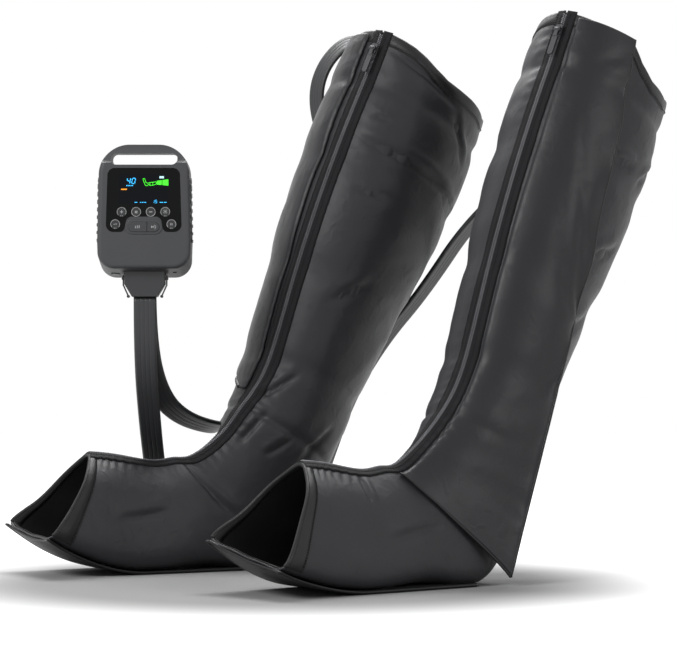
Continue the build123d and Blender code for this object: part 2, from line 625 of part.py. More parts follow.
    with BuildPart() as zip_pull:
        eye = Plane(origin=pin.origin + seat.y_dir * 1.2, x_dir=seat.x_dir, z_dir=seat.y_dir)
        with BuildSketch(eye):
            Circle(PIN_D / 2 + 1.2)
            with Locations((6, 0)):
                Rectangle(12, 2.0)
            Circle(PIN_D / 2 + SHAFT_GAP, mode=Mode.SUBTRACT)
        extrude(amount=PIN_SPAN - 2.4)
        with BuildSketch(seat.offset(SLIDER_T + 0.2)):
            with Locations((8 + PULL_L / 2, 0)):
                SlotOverall(PULL_L, PULL_W)
        extrude(amount=PULL_T)
    save(zip_pull, f"{sleeve.name}_zip_pull")

# ------------------------------------------------------------- plug and latches
PLUG_W, PLUG_D, PLUG_SHOULDER, PLUG_LOW, NECK_W = 61.0, 27.0, -24.0, -43.0, 38.0
LATCH_T, LATCH_D, LATCH_PIVOT, LATCH_PIN_D = 1.8, 9.0, -15.0, 2.2

with BuildPart() as hose_plug:
    plug_back = Plane(
        origin=(PUMP_X, PUMP_Y + PLUG_D / 2, PUMP_Z), x_dir=(1, 0, 0), z_dir=(0, -1, 0)
    )
    with BuildSketch(plug_back):
        with BuildLine():
            Polyline(
                (-PLUG_W / 2, 0), (PLUG_W / 2, 0), (PLUG_W / 2, PLUG_SHOULDER),
                (NECK_W / 2, PLUG_LOW), (-NECK_W / 2, PLUG_LOW),
                (-PLUG_W / 2, PLUG_SHOULDER), close=True,
            )
        make_face()
    extrude(amount=PLUG_D)
    fillet(hose_plug.edges().filter_by(Axis.Y), radius=2.5)
    fillet(hose_plug.faces().sort_by(Axis.Y)[0].edges(), radius=1.5)
    split(bisect_by=under_plane(0.5), keep=Keep.BOTTOM)
    with BuildSketch(level(-12)):
        RectangleRounded(NOSE_W, NOSE_D, 2.0)
    extrude(amount=12 + NOSE_TOP)
    with BuildSketch(level(NOSE_TOP)):
        with GridLocations(VALVE_PITCH, 1, 4, 1):
            Circle(PORT_D / 2)
    extrude(amount=-30, mode=Mode.SUBTRACT)
    # pins for the latches, each between two ears
    for side in (-1, 1):
        with BuildSketch(plug_back.offset(PLUG_D / 2 - LATCH_D / 2 - 2.5)):
            with Locations((side * (PLUG_W / 2 + 2.3), LATCH_PIVOT)):
                Circle(LATCH_PIN_D / 2)
        extrude(amount=LATCH_D + 5)
        for ear in (-1, 1):
            with BuildSketch(plug_back.offset(PLUG_D / 2 + ear * (LATCH_D / 2 + 1.5))):
                with Locations((side * (PLUG_W / 2 + 1.5), LATCH_PIVOT)):
                    Rectangle(5.4, 4.4)
            extrude(amount=1, both=True)
save(hose_plug, "hose_plug")

for side, name in ((-1, "latch_left"), (1, "latch_right")):
    with BuildPart() as latch:
        arm_x, shoulder = PLUG_W / 2 + 2.3, PLUG_SHOULDER - 1
        with BuildSketch(plug_back.offset(PLUG_D / 2)):
            with BuildLine():
                Polyline(
                    (side * arm_x, LATCH_PIVOT + 5), (side * arm_x, shoulder),
                    (side * (NECK_W / 2 + 6.2), PLUG_LOW + 1.5),
                )
            trace(line_width=LATCH_T)
            with Locations((side * (NECK_W / 2 + 6.2), PLUG_LOW + 1.0)):
                Circle(2.2)
            with Locations((side * arm_x, LATCH_PIVOT)):
                Circle(LATCH_PIN_D / 2 + 1.2)
                Circle(LATCH_PIN_D / 2 + SHAFT_GAP, mode=Mode.SUBTRACT)
        extrude(amount=LATCH_D / 2, both=True)
    save(latch, name)

# ----------------------------------------------------------- hoses and inlets
HOSE_W, HOSE_T, HOSE_ARC = 34.0, 7.5, 0.45
HOSE_FRONT, HOSE_REAR = PUMP_Y - 5, PUMP_Y + 5 # Y of the two hoses at the plug
INLET_L, INLET_W, INLET_T, INLET_DOWN, INLET_GAP = 46.0, 30.0, 14.0, 60.0, 2.6
INLET_AXIS = 9.0                               # height of the hose's middle on the inlet
KEEPER_L, KEEPER_T, KEEPER_TAB, KEEPER_TAB_W = 20.0, 2.0, 24.0, 10.0
left_sleeve, right_sleeve = SLEEVES
inside = -COVER_T - CHAMBER_T - LINING_T - INLET_GAP


def inlet_seat(sleeve, angle):
    """A plane by the lining under the top hem: x runs down the leg, z points inwards."""
    hem, lower = sleeve.on_leg("top", angle, inside), sleeve.on_leg("thigh", angle, inside)
    down = (lower - hem).normalized()
    inward = sleeve.plane("top").origin - hem
    inward = (inward - down * inward.dot(down)).normalized()
    return Plane(origin=hem + down * INLET_DOWN, x_dir=down, z_dir=inward)


seats = {"left": inlet_seat(left_sleeve, -100), "right": inlet_seat(right_sleeve, -128)}
for name, seat in seats.items():
    with BuildPart() as inlet:
        with BuildSketch(seat):
            RectangleRounded(INLET_L, INLET_W, 4)
        extrude(amount=INLET_T)
        fillet(inlet.faces().sort_by(Axis(seat.origin, seat.z_dir))[-1].edges(), radius=2)
    save(inlet, f"inlet_{name}")

ends = {name: seat.from_local_coords((-INLET_L / 2, 0, INLET_AXIS)) for name, seat in seats.items()}
REAR_HOSE = [
    (-292, HOSE_REAR, 416), (-291, 35, 340), (-274, 82, 265), (-242, 147, 229),
    (-189, 223, 211), (-179, 288, 218), (-143, 319, 290), (-80, 338, 417), (-22, 392, 560),
    (-23, 385, 680), (-40, 378, 752), (-23, 377, 809), (21, 376, 850), (69, 371, 823),
    (64, 370.4, 779.2), ends["left"],
]
FRONT_HOSE = [
    (-292, HOSE_FRONT, 416), (-292, 23, 326), (-289, 89, 222), (-285, 190, 125),
    (-269, 280, 58), (-252, 378, 14), (-164, 413, 10), (-92, 410, 14), (-52, 392, 62),
    (-22, 366, 150), (18, 352, 262), (72, 340, 352), (136, 304, 428), (215, 206, 549),
    (332, 145, 642), (327, 179, 726), (370, 214, 787), (401, 162, 801), (383.2, 128.8, 754.2),
    ends["right"],
]


def hose(points):
    """A flat hose along straight runs, joined by the largest arcs that they allow."""
    points, radii = [Vector(point) for point in points], []
    for before, here, after in zip(points, points[1:], points[2:]):
        back, ahead = here - before, after - here
        turn = radians(back.get_angle(ahead))
        radii.append(HOSE_ARC * min(back.length, ahead.length) / tan(turn / 2))
    with BuildPart() as tube:
        with BuildLine():
            FilletPolyline(*points, radius=radii)
        with BuildSketch(Plane(origin=points[0], x_dir=(1, 0, 0), z_dir=points[1] - points[0])):
            Rectangle(HOSE_W, HOSE_T)
        sweep()
    return tube.part


for name, route in (("hose_rear", REAR_HOSE), ("hose_front", FRONT_HOSE)):
    with BuildPart() as ribbon:
        add(hose(route))
    save(ribbon, name)

# a fabric keeper with a tab holds the rear hose beside the left leg
start, stop = Vector(REAR_HOSE[8]), Vector(REAR_HOSE[9])
held = (start + stop) / 2
with BuildPart() as keeper:
    inwards = left_sleeve.plane("knee").origin - held
    with BuildSketch(Plane(origin=held, x_dir=inwards, z_dir=stop - start)):
        with Locations((HOSE_W / 2 + KEEPER_TAB / 2, 0)):
            Rectangle(KEEPER_TAB, KEEPER_TAB_W)
        Circle(HOSE_W / 2 + KEEPER_T)
        Circle(HOSE_W / 2 + 0.2, mode=Mode.SUBTRACT)
    extrude(amount=KEEPER_L / 2, both=True)
    add(left_sleeve.tube(LEG, 0), mode=Mode.SUBTRACT)
save(keeper, "hose_keeper")
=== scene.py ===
"""Dressed scene of a compression therapy set: a hand-held air pump, its two flat
hoses and two zipped full-leg sleeves.

Everything is in metres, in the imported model's own frame: +Z is up, the soles
stand on Z = 0 and the pump's face looks along -Y.
"""

import logging
from collections.abc import Callable
from dataclasses import dataclass, field
from enum import Enum
from math import cos, pi, radians, sin

import bpy
import numpy as np
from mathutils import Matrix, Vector
from mathutils.bvhtree import BVHTree


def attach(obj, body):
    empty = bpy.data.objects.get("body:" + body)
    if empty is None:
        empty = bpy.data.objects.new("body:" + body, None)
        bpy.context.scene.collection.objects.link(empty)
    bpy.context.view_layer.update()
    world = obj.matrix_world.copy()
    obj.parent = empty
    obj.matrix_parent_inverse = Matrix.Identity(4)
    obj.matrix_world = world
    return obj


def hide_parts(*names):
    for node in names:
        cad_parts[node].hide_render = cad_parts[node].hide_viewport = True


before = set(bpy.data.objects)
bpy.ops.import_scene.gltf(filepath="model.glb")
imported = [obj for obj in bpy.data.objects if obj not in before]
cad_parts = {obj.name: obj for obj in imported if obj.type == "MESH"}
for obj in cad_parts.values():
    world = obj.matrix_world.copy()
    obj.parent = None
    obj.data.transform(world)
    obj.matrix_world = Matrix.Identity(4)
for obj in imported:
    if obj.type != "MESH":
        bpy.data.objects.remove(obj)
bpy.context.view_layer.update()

logging.basicConfig(level=logging.INFO, format="%(message)s")
log = logging.getLogger("scene")

MM = 0.001
TINY = 1e-12
UV_STEP = 0.005
Array = np.ndarray


# ------------------------------------------------------------------ small tools
def linear(hex_colour: str) -> tuple[float, float, float, float]:
    """Turn an sRGB hex colour into Blender's linear values.

    Args:
        hex_colour: six hex digits, such as "2b2b2d".

    Returns:
        Red, green, blue and an alpha of one.
    """
    parts = [int(hex_colour[i:i + 2], 16) / 255 for i in (0, 2, 4)]
    return tuple(c / 12.92 if c <= 0.04045 else ((c + 0.055) / 1.055) ** 2.4 for c in parts) + (1.0,)


def add_node(
    tree: bpy.types.NodeTree, kind: str, settings: dict | None = None, inputs: dict | None = None
) -> bpy.types.Node:
    """Add one shader node with its settings, and its inputs as values or links.

    Args:
        tree: the material's node tree.
        kind: the node's type name.
        settings: attributes to set on the node.
        inputs: input names or numbers, each with a value or another node's socket.

    Returns:
        The new node.
    """
    made = tree.nodes.new(kind)
    for name, value in (settings or {}).items():
        setattr(made, name, value)
    for name, value in (inputs or {}).items():
        if isinstance(value, bpy.types.NodeSocket):
            tree.links.new(value, made.inputs[name])
        else:
            made.inputs[name].default_value = value
    return made


def mesh_piece(name: str, points: Array, faces: list, uvs: Array | None = None) -> bpy.types.Object:
    """Make a mesh object at the origin from points in metres.

    Args:
        name: the piece's name.
        points: one row of x, y, z for each vertex.
        faces: vertex numbers of each face.
        uvs: one u, v for each vertex or for each corner of each face, in metres of cloth, or None.

    Returns:
        The new object, smooth shaded.
    """
    mesh = bpy.data.meshes.new(name)
    mesh.from_pydata(np.asarray(points, float).tolist(), [], faces)
    if uvs is not None:
        layer = mesh.uv_layers.new(name="cloth")
        table = np.asarray(uvs, dtype=np.float32)
        if len(table) != len(mesh.loops):
            corners = np.zeros(len(mesh.loops), dtype=np.int32)
            mesh.loops.foreach_get("vertex_index", corners)
            table = table[corners]
        layer.data.foreach_set("uv", table.ravel())
    mesh.polygons.foreach_set("use_smooth", [True] * len(mesh.polygons))
    mesh.update()
    piece = bpy.data.objects.new(name, mesh)
    bpy.context.scene.collection.objects.link(piece)
    return piece


def pick(piece: bpy.types.Object) -> None:
    """Select one object alone and make it active."""
    bpy.ops.object.select_all(action="DESELECT")
    piece.select_set(True)
    bpy.context.view_layer.objects.active = piece


def settle(piece: bpy.types.Object) -> None:
    """Move a piece's place, turn and scale into its mesh."""
    pick(piece)
    bpy.ops.object.transform_apply(location=True, rotation=True, scale=True)


def dress(piece: bpy.types.Object, finish: "Finish", body: str) -> bpy.types.Object:
    """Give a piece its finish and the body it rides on.

    Args:
        piece: the finished object.
        finish: the finish that covers it all over.
        body: the body that it moves with.

    Returns:
        The same object.
    """
    piece.data.materials.clear()
    piece.data.materials.append(finish.material())
    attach(piece, body)
    log.info("piece %s on %s: %d faces", piece.name, body, len(getattr(piece.data, "polygons", [])))
    return piece


def grid_faces(rows: int, columns: int, closed: bool = False, start: int = 0) -> list:
    """Number the quads of a grid of vertices.

    Args:
        rows: vertices along the first direction.
        columns: vertices along the second direction.
        closed: whether the second direction joins up.
        start: number of the first vertex.

    Returns:
        A list of four vertex numbers for each quad.
    """
    wrap = columns if closed else columns - 1
    return [
        (start + i * columns + j, start + i * columns + (j + 1) % columns,
         start + (i + 1) * columns + (j + 1) % columns, start + (i + 1) * columns + j)
        for i in range(rows - 1) for j in range(wrap)
    ]


def unit(vectors: Array) -> Array:
    """Return vectors of length one, along the last axis."""
    return vectors / (np.linalg.norm(vectors, axis=-1, keepdims=True) + TINY)


def run_length(points: Array) -> Array:
    """Return the distance along a line at each of its points."""
    return np.concatenate([[0], np.cumsum(np.linalg.norm(np.diff(points, axis=0), axis=1))])


def rod(name: str, rings: Array, uvs: Array) -> bpy.types.Object:
    """Make a closed rod from its cross-sections, capped at both ends.

    Args:
        name: the piece's name.
        rings: the points of each cross-section, in metres.
        uvs: the cloth coordinates of the same points.

    Returns:
        The rod, its faces turned outwards.
    """
    rows, count = rings.shape[:2]
    last = (rows - 1) * count
    faces = grid_faces(rows, count, closed=True) + [tuple(range(count)), tuple(range(last, last + count))]
    piece = mesh_piece(name, rings.reshape(-1, 3), faces, uvs.reshape(-1, 2))
    turn_outwards(piece)
    return piece


def net_uvs(across: Array, along: Array) -> Array:
    """Return the cloth coordinates of a grid from its distances across and along."""
    return np.stack(np.broadcast_arrays(across, along), axis=2)


# ---------------------------------------------------------------------- finishes
@dataclass(frozen=True)
class Finish:
    """A surface finish, made into a material once and kept.

    Attributes:
        name: the real material's name.
        colour: its main colour, sRGB hex.
        shade: a second colour that it drifts to in places.
        roughness: its typical roughness.
        grain_mm: size of its surface grain.
        grain_depth_mm: depth of the grain.
        metallic: one for a bare metal.
    """

    name: str
    colour: str
    shade: str = ""
    roughness: float = 0.5
    grain_mm: float = 0.6
    grain_depth_mm: float = 0.03
    metallic: float = 0.0

    def material(self) -> bpy.types.Material:
        """Return the finish's material, and build it the first time."""
        known = bpy.data.materials.get(self.name)
        return known if known else self.build()

    def start(self) -> tuple[bpy.types.Material, bpy.types.NodeTree, bpy.types.Node]:
        """Make an empty material with one shader wired to its output."""
        made = bpy.data.materials.new(self.name)
        made.use_nodes = True
        tree = made.node_tree
        tree.nodes.clear()
        shader = add_node(tree, "ShaderNodeBsdfPrincipled", inputs={
            "Base Color": linear(self.colour), "Roughness": self.roughness, "Metallic": self.metallic,
        })
        add_node(tree, "ShaderNodeOutputMaterial", inputs={"Surface": shader.outputs["BSDF"]})
        return made, tree, shader

    def drift(
        self, tree: bpy.types.NodeTree, place: bpy.types.NodeSocket, size_mm: float,
    ) -> bpy.types.NodeSocket:
        """Mix the two colours in soft patches of a real size.

        Args:
            tree: the material's node tree.
            place: the coordinates to read.
            size_mm: width of a patch.

        Returns:
            The colour socket.
        """
        patch = add_node(tree, "ShaderNodeTexNoise", inputs={
            "Vector": place, "Scale": 1 / (size_mm * MM), "Detail": 3.0, "Roughness": 0.55,
        })
        mix = add_node(tree, "ShaderNodeMix", {"data_type": "RGBA"}, {
            0: patch.outputs["Fac"], 6: linear(self.colour), 7: linear(self.shade or self.colour),
        })
        return mix.outputs[2]

    def build(self) -> bpy.types.Material:
        """Build a moulded surface: fine spark-eroded grain and a slight drift of colour."""
        made, tree, shader = self.start()
        place = add_node(tree, "ShaderNodeTexCoord").outputs["Object"]
        tree.links.new(self.drift(tree, place, 40), shader.inputs["Base Color"])
        grain = add_node(tree, "ShaderNodeTexNoise", inputs={
            "Vector": place, "Scale": 1 / (self.grain_mm * MM), "Detail": 2.0,
        })
        bump = add_node(tree, "ShaderNodeBump", inputs={
            "Strength": 0.6, "Distance": self.grain_depth_mm * MM, "Height": grain.outputs["Fac"],
        })
        tree.links.new(bump.outputs["Normal"], shader.inputs["Normal"])
        wear = add_node(tree, "ShaderNodeMapRange", inputs={
            "Value": grain.outputs["Fac"], "To Min": self.roughness - 0.05, "To Max": self.roughness + 0.07,
        })
        tree.links.new(wear.outputs["Result"], shader.inputs["Roughness"])
        return made


@dataclass(frozen=True)
class CoatedNylon(Finish):
    """Polyurethane-coated nylon: a tight plain weave under a satin film.

    The film gives broad soft highlights, and the weave and the cloth's own
    crinkle break them up. Threads are 0.3 mm apart, too fine to show, so the
    weave is drawn at `thread_mm`.
    """

    thread_mm: float = 0.9
    crinkle_mm: float = 16.0
    crinkle_depth_mm: float = 1.1
    film: float = 0.26

    def build(self) -> bpy.types.Material:
        """Build the coated cloth from its weave, crinkle and film."""
        made, tree, shader = self.start()
        where = add_node(tree, "ShaderNodeTexCoord")
        cloth, place = where.outputs["UV"], where.outputs["Object"]
        tree.links.new(self.drift(tree, place, 70), shader.inputs["Base Color"])
        threads = []
        for axis in ("X", "Y"):
            wave = add_node(tree, "ShaderNodeTexWave", {"bands_direction": axis}, {
                "Vector": cloth, "Scale": 0.314 / (self.thread_mm * MM), "Distortion": 0.4, "Detail": 1.0,
            })
            threads.append(wave.outputs["Fac"])
        weave = add_node(tree, "ShaderNodeMath", {"operation": "MULTIPLY"}, {0: threads[0], 1: threads[1]})
        crinkle = add_node(tree, "ShaderNodeTexNoise", {"noise_type": "RIDGED_MULTIFRACTAL"}, {
            "Vector": place, "Scale": 1 / (self.crinkle_mm * MM), "Detail": 2.5, "Roughness": 0.4,
            "Distortion": 0.6,
        })
        fine = add_node(tree, "ShaderNodeBump", inputs={
            "Strength": 0.35, "Distance": 0.1 * MM, "Height": weave.outputs["Value"],
        })
        broad = add_node(tree, "ShaderNodeBump", inputs={
            "Strength": 0.5, "Distance": self.crinkle_depth_mm * MM, "Height": crinkle.outputs["Fac"],
            "Normal": fine.outputs["Normal"],
        })
        tree.links.new(broad.outputs["Normal"], shader.inputs["Normal"])
        satin = add_node(tree, "ShaderNodeMapRange", inputs={
            "Value": crinkle.outputs["Fac"], "To Min": self.roughness - 0.05, "To Max": self.roughness + 0.08,
        })
        tree.links.new(satin.outputs["Result"], shader.inputs["Roughness"])
        shader.inputs["Sheen Weight"].default_value = 0.02
        shader.inputs["Specular IOR Level"].default_value = self.film
        return made


@dataclass(frozen=True)
class RibbedTape(Finish):
    """Woven polyester tape: dull, with a rib every `rib_mm` across it."""

    rib_mm: float = 1.2

    def build(self) -> bpy.types.Material:
        """Build the tape from its ribs."""
        made, tree, shader = self.start()
        where = add_node(tree, "ShaderNodeTexCoord")
        tree.links.new(self.drift(tree, where.outputs["Object"], 25), shader.inputs["Base Color"])
        rib = add_node(tree, "ShaderNodeTexWave", {"bands_direction": "X"}, {
            "Vector": where.outputs["UV"], "Scale": 0.314 / (self.rib_mm * MM), "Distortion": 0.6,
        })
        bump = add_node(tree, "ShaderNodeBump", inputs={
            "Strength": 0.6, "Distance": 0.15 * MM, "Height": rib.outputs["Fac"],
        })
        tree.links.new(bump.outputs["Normal"], shader.inputs["Normal"])
        shader.inputs["Sheen Weight"].default_value = 0.02
        shader.inputs["Specular IOR Level"].default_value = 0.15
        return made


@dataclass(frozen=True)
class ClearGloss(Finish):
    """Gloss acrylic: a mirror-smooth face over a printed back."""

    coat: float = 0.0
    gloss: float = 0.12

    def build(self) -> bpy.types.Material:
        """Build the acrylic with a faint film of handling marks."""
        made, tree, shader = self.start()
        place = add_node(tree, "ShaderNodeTexCoord").outputs["Object"]
        smear = add_node(tree, "ShaderNodeTexNoise", inputs={"Vector": place, "Scale": 60.0, "Detail": 4.0})
        rough = add_node(tree, "ShaderNodeMapRange", inputs={
            "Value": smear.outputs["Fac"], "To Min": self.roughness, "To Max": self.roughness + 0.08,
        })
        tree.links.new(rough.outputs["Result"], shader.inputs["Roughness"])
        tree.links.new(self.drift(tree, place, 90), shader.inputs["Base Color"])
        shader.inputs["Specular IOR Level"].default_value = self.gloss
        shader.inputs["Coat Weight"].default_value = self.coat
        shader.inputs["Coat Roughness"].default_value = 0.04
        return made


@dataclass(frozen=True)
class LitInk(Finish):
    """A lit segment of a display: even colour that glows a little."""

    glow: float = 1.2

    def build(self) -> bpy.types.Material:
        """Build the lit segment."""
        made, tree, shader = self.start()
        place = add_node(tree, "ShaderNodeTexCoord").outputs["Object"]
        tree.links.new(self.drift(tree, place, 8), shader.inputs["Base Color"])
        shader.inputs["Emission Color"].default_value = linear(self.colour)
        shader.inputs["Emission Strength"].default_value = self.glow
        return made


COVER_CLOTH = CoatedNylon("coated_nylon_cover", "28282b", "2e2e31", 0.5)
FLAP_CLOTH = CoatedNylon("coated_nylon_flap", "242427", "1e1e21", 0.43, crinkle_depth_mm=0.8)
LINING_CLOTH = CoatedNylon("brushed_lining", "0e0e0f", "121213", 0.75, crinkle_depth_mm=0.6)
SOLE_CLOTH = CoatedNylon("coated_nylon_sole", "161618", "1b1b1d", 0.55, crinkle_mm=9.0)
BINDING = CoatedNylon("folded_binding", "161618", "1b1b1d", 0.46, crinkle_mm=7.0, crinkle_depth_mm=0.5)
THREAD = RibbedTape("sewing_thread", "1a1a1b", "222223", 0.7, rib_mm=0.8)
ZIP_TAPE = RibbedTape("woven_zip_tape", "18181a", "1e1e20", 0.72)
ZIP_TEETH = Finish("acetal_zip_teeth", "68686c", "76767b", 0.34, 0.8, 0.02)
ZIP_METAL = Finish("painted_zinc_slider", "303033", "3a3a3d", 0.34, 0.9, 0.02)
HOUSING = Finish("moulded_abs_housing", "353638", "3a3b3d", 0.52, 0.45, 0.05)
GRIP = Finish("moulded_soft_grip", "262729", "2b2c2e", 0.7, 0.5, 0.05)
# painted shade: near-black, standing in for the shade inside a hole that is not modelled
HOLE_SHADE_PAINT = Finish("painted_hole_shade", "050506", "07070a", 0.95)
PANEL = ClearGloss("gloss_acrylic_panel", "08090a", "0b0c0d", 0.12)
SCREEN = ClearGloss("display_glass", "05070c", "070a12", 0.08)
KEY_CAP = Finish("moulded_key_cap", "17181a", "1c1d1f", 0.42, 0.5, 0.02)
PILL_CAP = Finish("moulded_pill_cap", "2c2d2f", "303133", 0.5, 0.45, 0.03)
CONNECTOR = Finish("moulded_connector", "242527", "292a2c", 0.45, 0.5, 0.04)
HOSE_SKIN = Finish("extruded_hose", "262729", "2b2c2e", 0.46, 0.7, 0.03)
BOARD = Finish("glass_epoxy_board", "134426", "185530", 0.4, 0.5, 0.02)
CELL_WRAP = ClearGloss("shrink_wrapped_cell", "1d3f86", "24489a", 0.3, coat=0.2)
CAST_METAL = Finish("cast_aluminium", "b4b5b8", "a9aaad", 0.4, 0.8, 0.04, 1.0)
STEEL = Finish("turned_steel", "9c9da1", "a8a9ad", 0.3, 0.5, 0.02, 1.0)
VALVE_BODY = Finish("moulded_valve_body", "cfcfc9", "c6c6c0", 0.45)
LEGEND = Finish("printed_legend", "c9cacb", "b9babb", 0.55, 0.4, 0.01)
DIGIT = LitInk("lit_blue", "2ea8e6", "39b4ee", glow=1.4)
LEG_GREEN = LitInk("lit_green", "35c81f", "45d82c", glow=1.3)
DASH = LitInk("lit_orange", "e88a1c", "f09626", glow=1.2)
PALE = LitInk("lit_pale", "a9d4dc", "b8e0e6", glow=0.9)


# ---------------------------------------------------------------- sleeve surface
class Side(Enum):
    """Which of the two sleeves."""

    LEFT = "left"
    RIGHT = "right"


@dataclass(frozen=True)
class Station:
    """One cross-section of a sleeve: place, tilt, half sizes, and its share of tent shape and twist."""

    u: float
    z: float
    tilt: float
    deep: float
    wide: float
    tent: float
    twist: float
    leg: bool = False


STATIONS = (
    Station(234, 110, 124, 83, 86, 1.0, 0.0),
    Station(160, 93, 104, 83, 84, 0.95, 0.0),
    Station(84, 84, 92, 80, 82, 0.85, 0.0),
    Station(24, 86, 74, 85, 80, 0.7, 0.1),
    Station(-36, 89, 56, 101, 81, 0.75, 0.3),
    Station(-96, 144, 42, 98, 81, 0.4, 0.55),
    Station(-130, 198, 33, 95, 82, 0.1, 0.8, True),
    Station(-168, 272, 27, 93, 86, 0.0, 1.0, True),
    Station(-228, 412, 24.5, 110, 97, 0.0, 1.0, True),
    Station(-306, 585, 24.5, 129, 113, 0.0, 1.0, True),
    Station(-361, 710, 25.5, 129, 112, 0.0, 1.0, True),
    Station(-385, 768, 26, 128, 106, 0.0, 1.0, True),
)
TENT = ((1, 0), (0.80, 0.30), (0.42, 0.60), (-0.2, 0.84), (-0.93, 1.0), (-1, 0.5), (-1, 0))


@dataclass(frozen=True)
class Crease:
    """A fold pressed into the cloth: where, how long and wide, how deep, and which way it runs.

    Attributes:
        t: place along the sleeve, in stations.
        angle: place round it, in degrees from the zip.
        long: its length, in mm.
        wide: its half width, in mm.
        deep: its depth, in mm; below zero it is a ridge.
        turn: direction it runs, in degrees from straight round the leg.
    """

    t: float
    angle: float
    long: float
    wide: float
    deep: float
    turn: float = 0.0


def spline_matrix(count: int, closed: bool) -> Array:
    """Solve a cubic spline's slopes through evenly numbered points.

    Args:
        count: how many points.
        closed: whether the curve joins up.

    Returns:
        A matrix that turns the points into their slopes.
    """
    left, right = np.zeros((count, count)), np.zeros((count, count))
    for i in range(count):
        if closed or 0 < i < count - 1:
            left[i, (i - 1) % count], left[i, i], left[i, (i + 1) % count] = 1, 4, 1
            right[i, (i - 1) % count], right[i, (i + 1) % count] = -3, 3
        elif i == 0:
            left[0, 0], left[0, 1], right[0, 0], right[0, 1] = 2, 1, -3, 3
        else:
            left[i, i], left[i, i - 1], right[i, i], right[i, i - 1] = 2, 1, 3, -3
    return np.linalg.solve(left, right)


def spline_at(points: Array, where: Array, closed: bool) -> Array:
    """Read a cubic spline through points, along their first axis.

    Args:
        points: the points, first axis along the curve.
        where: places along it, one per point number.
        closed: whether it joins up.

    Returns:
        The points at those places.
    """
    count = len(points)
    slopes = np.tensordot(spline_matrix(count, closed), points, 1)
    low = np.floor(where).astype(int)
    if not closed:
        low = np.clip(low, 0, count - 2)
    s = (where - low).reshape((-1,) + (1,) * (points.ndim - 1))
    a, b = low % count, (low + 1) % count
    return (
        points[a] * (2 * s ** 3 - 3 * s ** 2 + 1) + slopes[a] * (s ** 3 - 2 * s ** 2 + s)
        + points[b] * (3 * s ** 2 - 2 * s ** 3) + slopes[b] * (s ** 3 - s ** 2)
    )


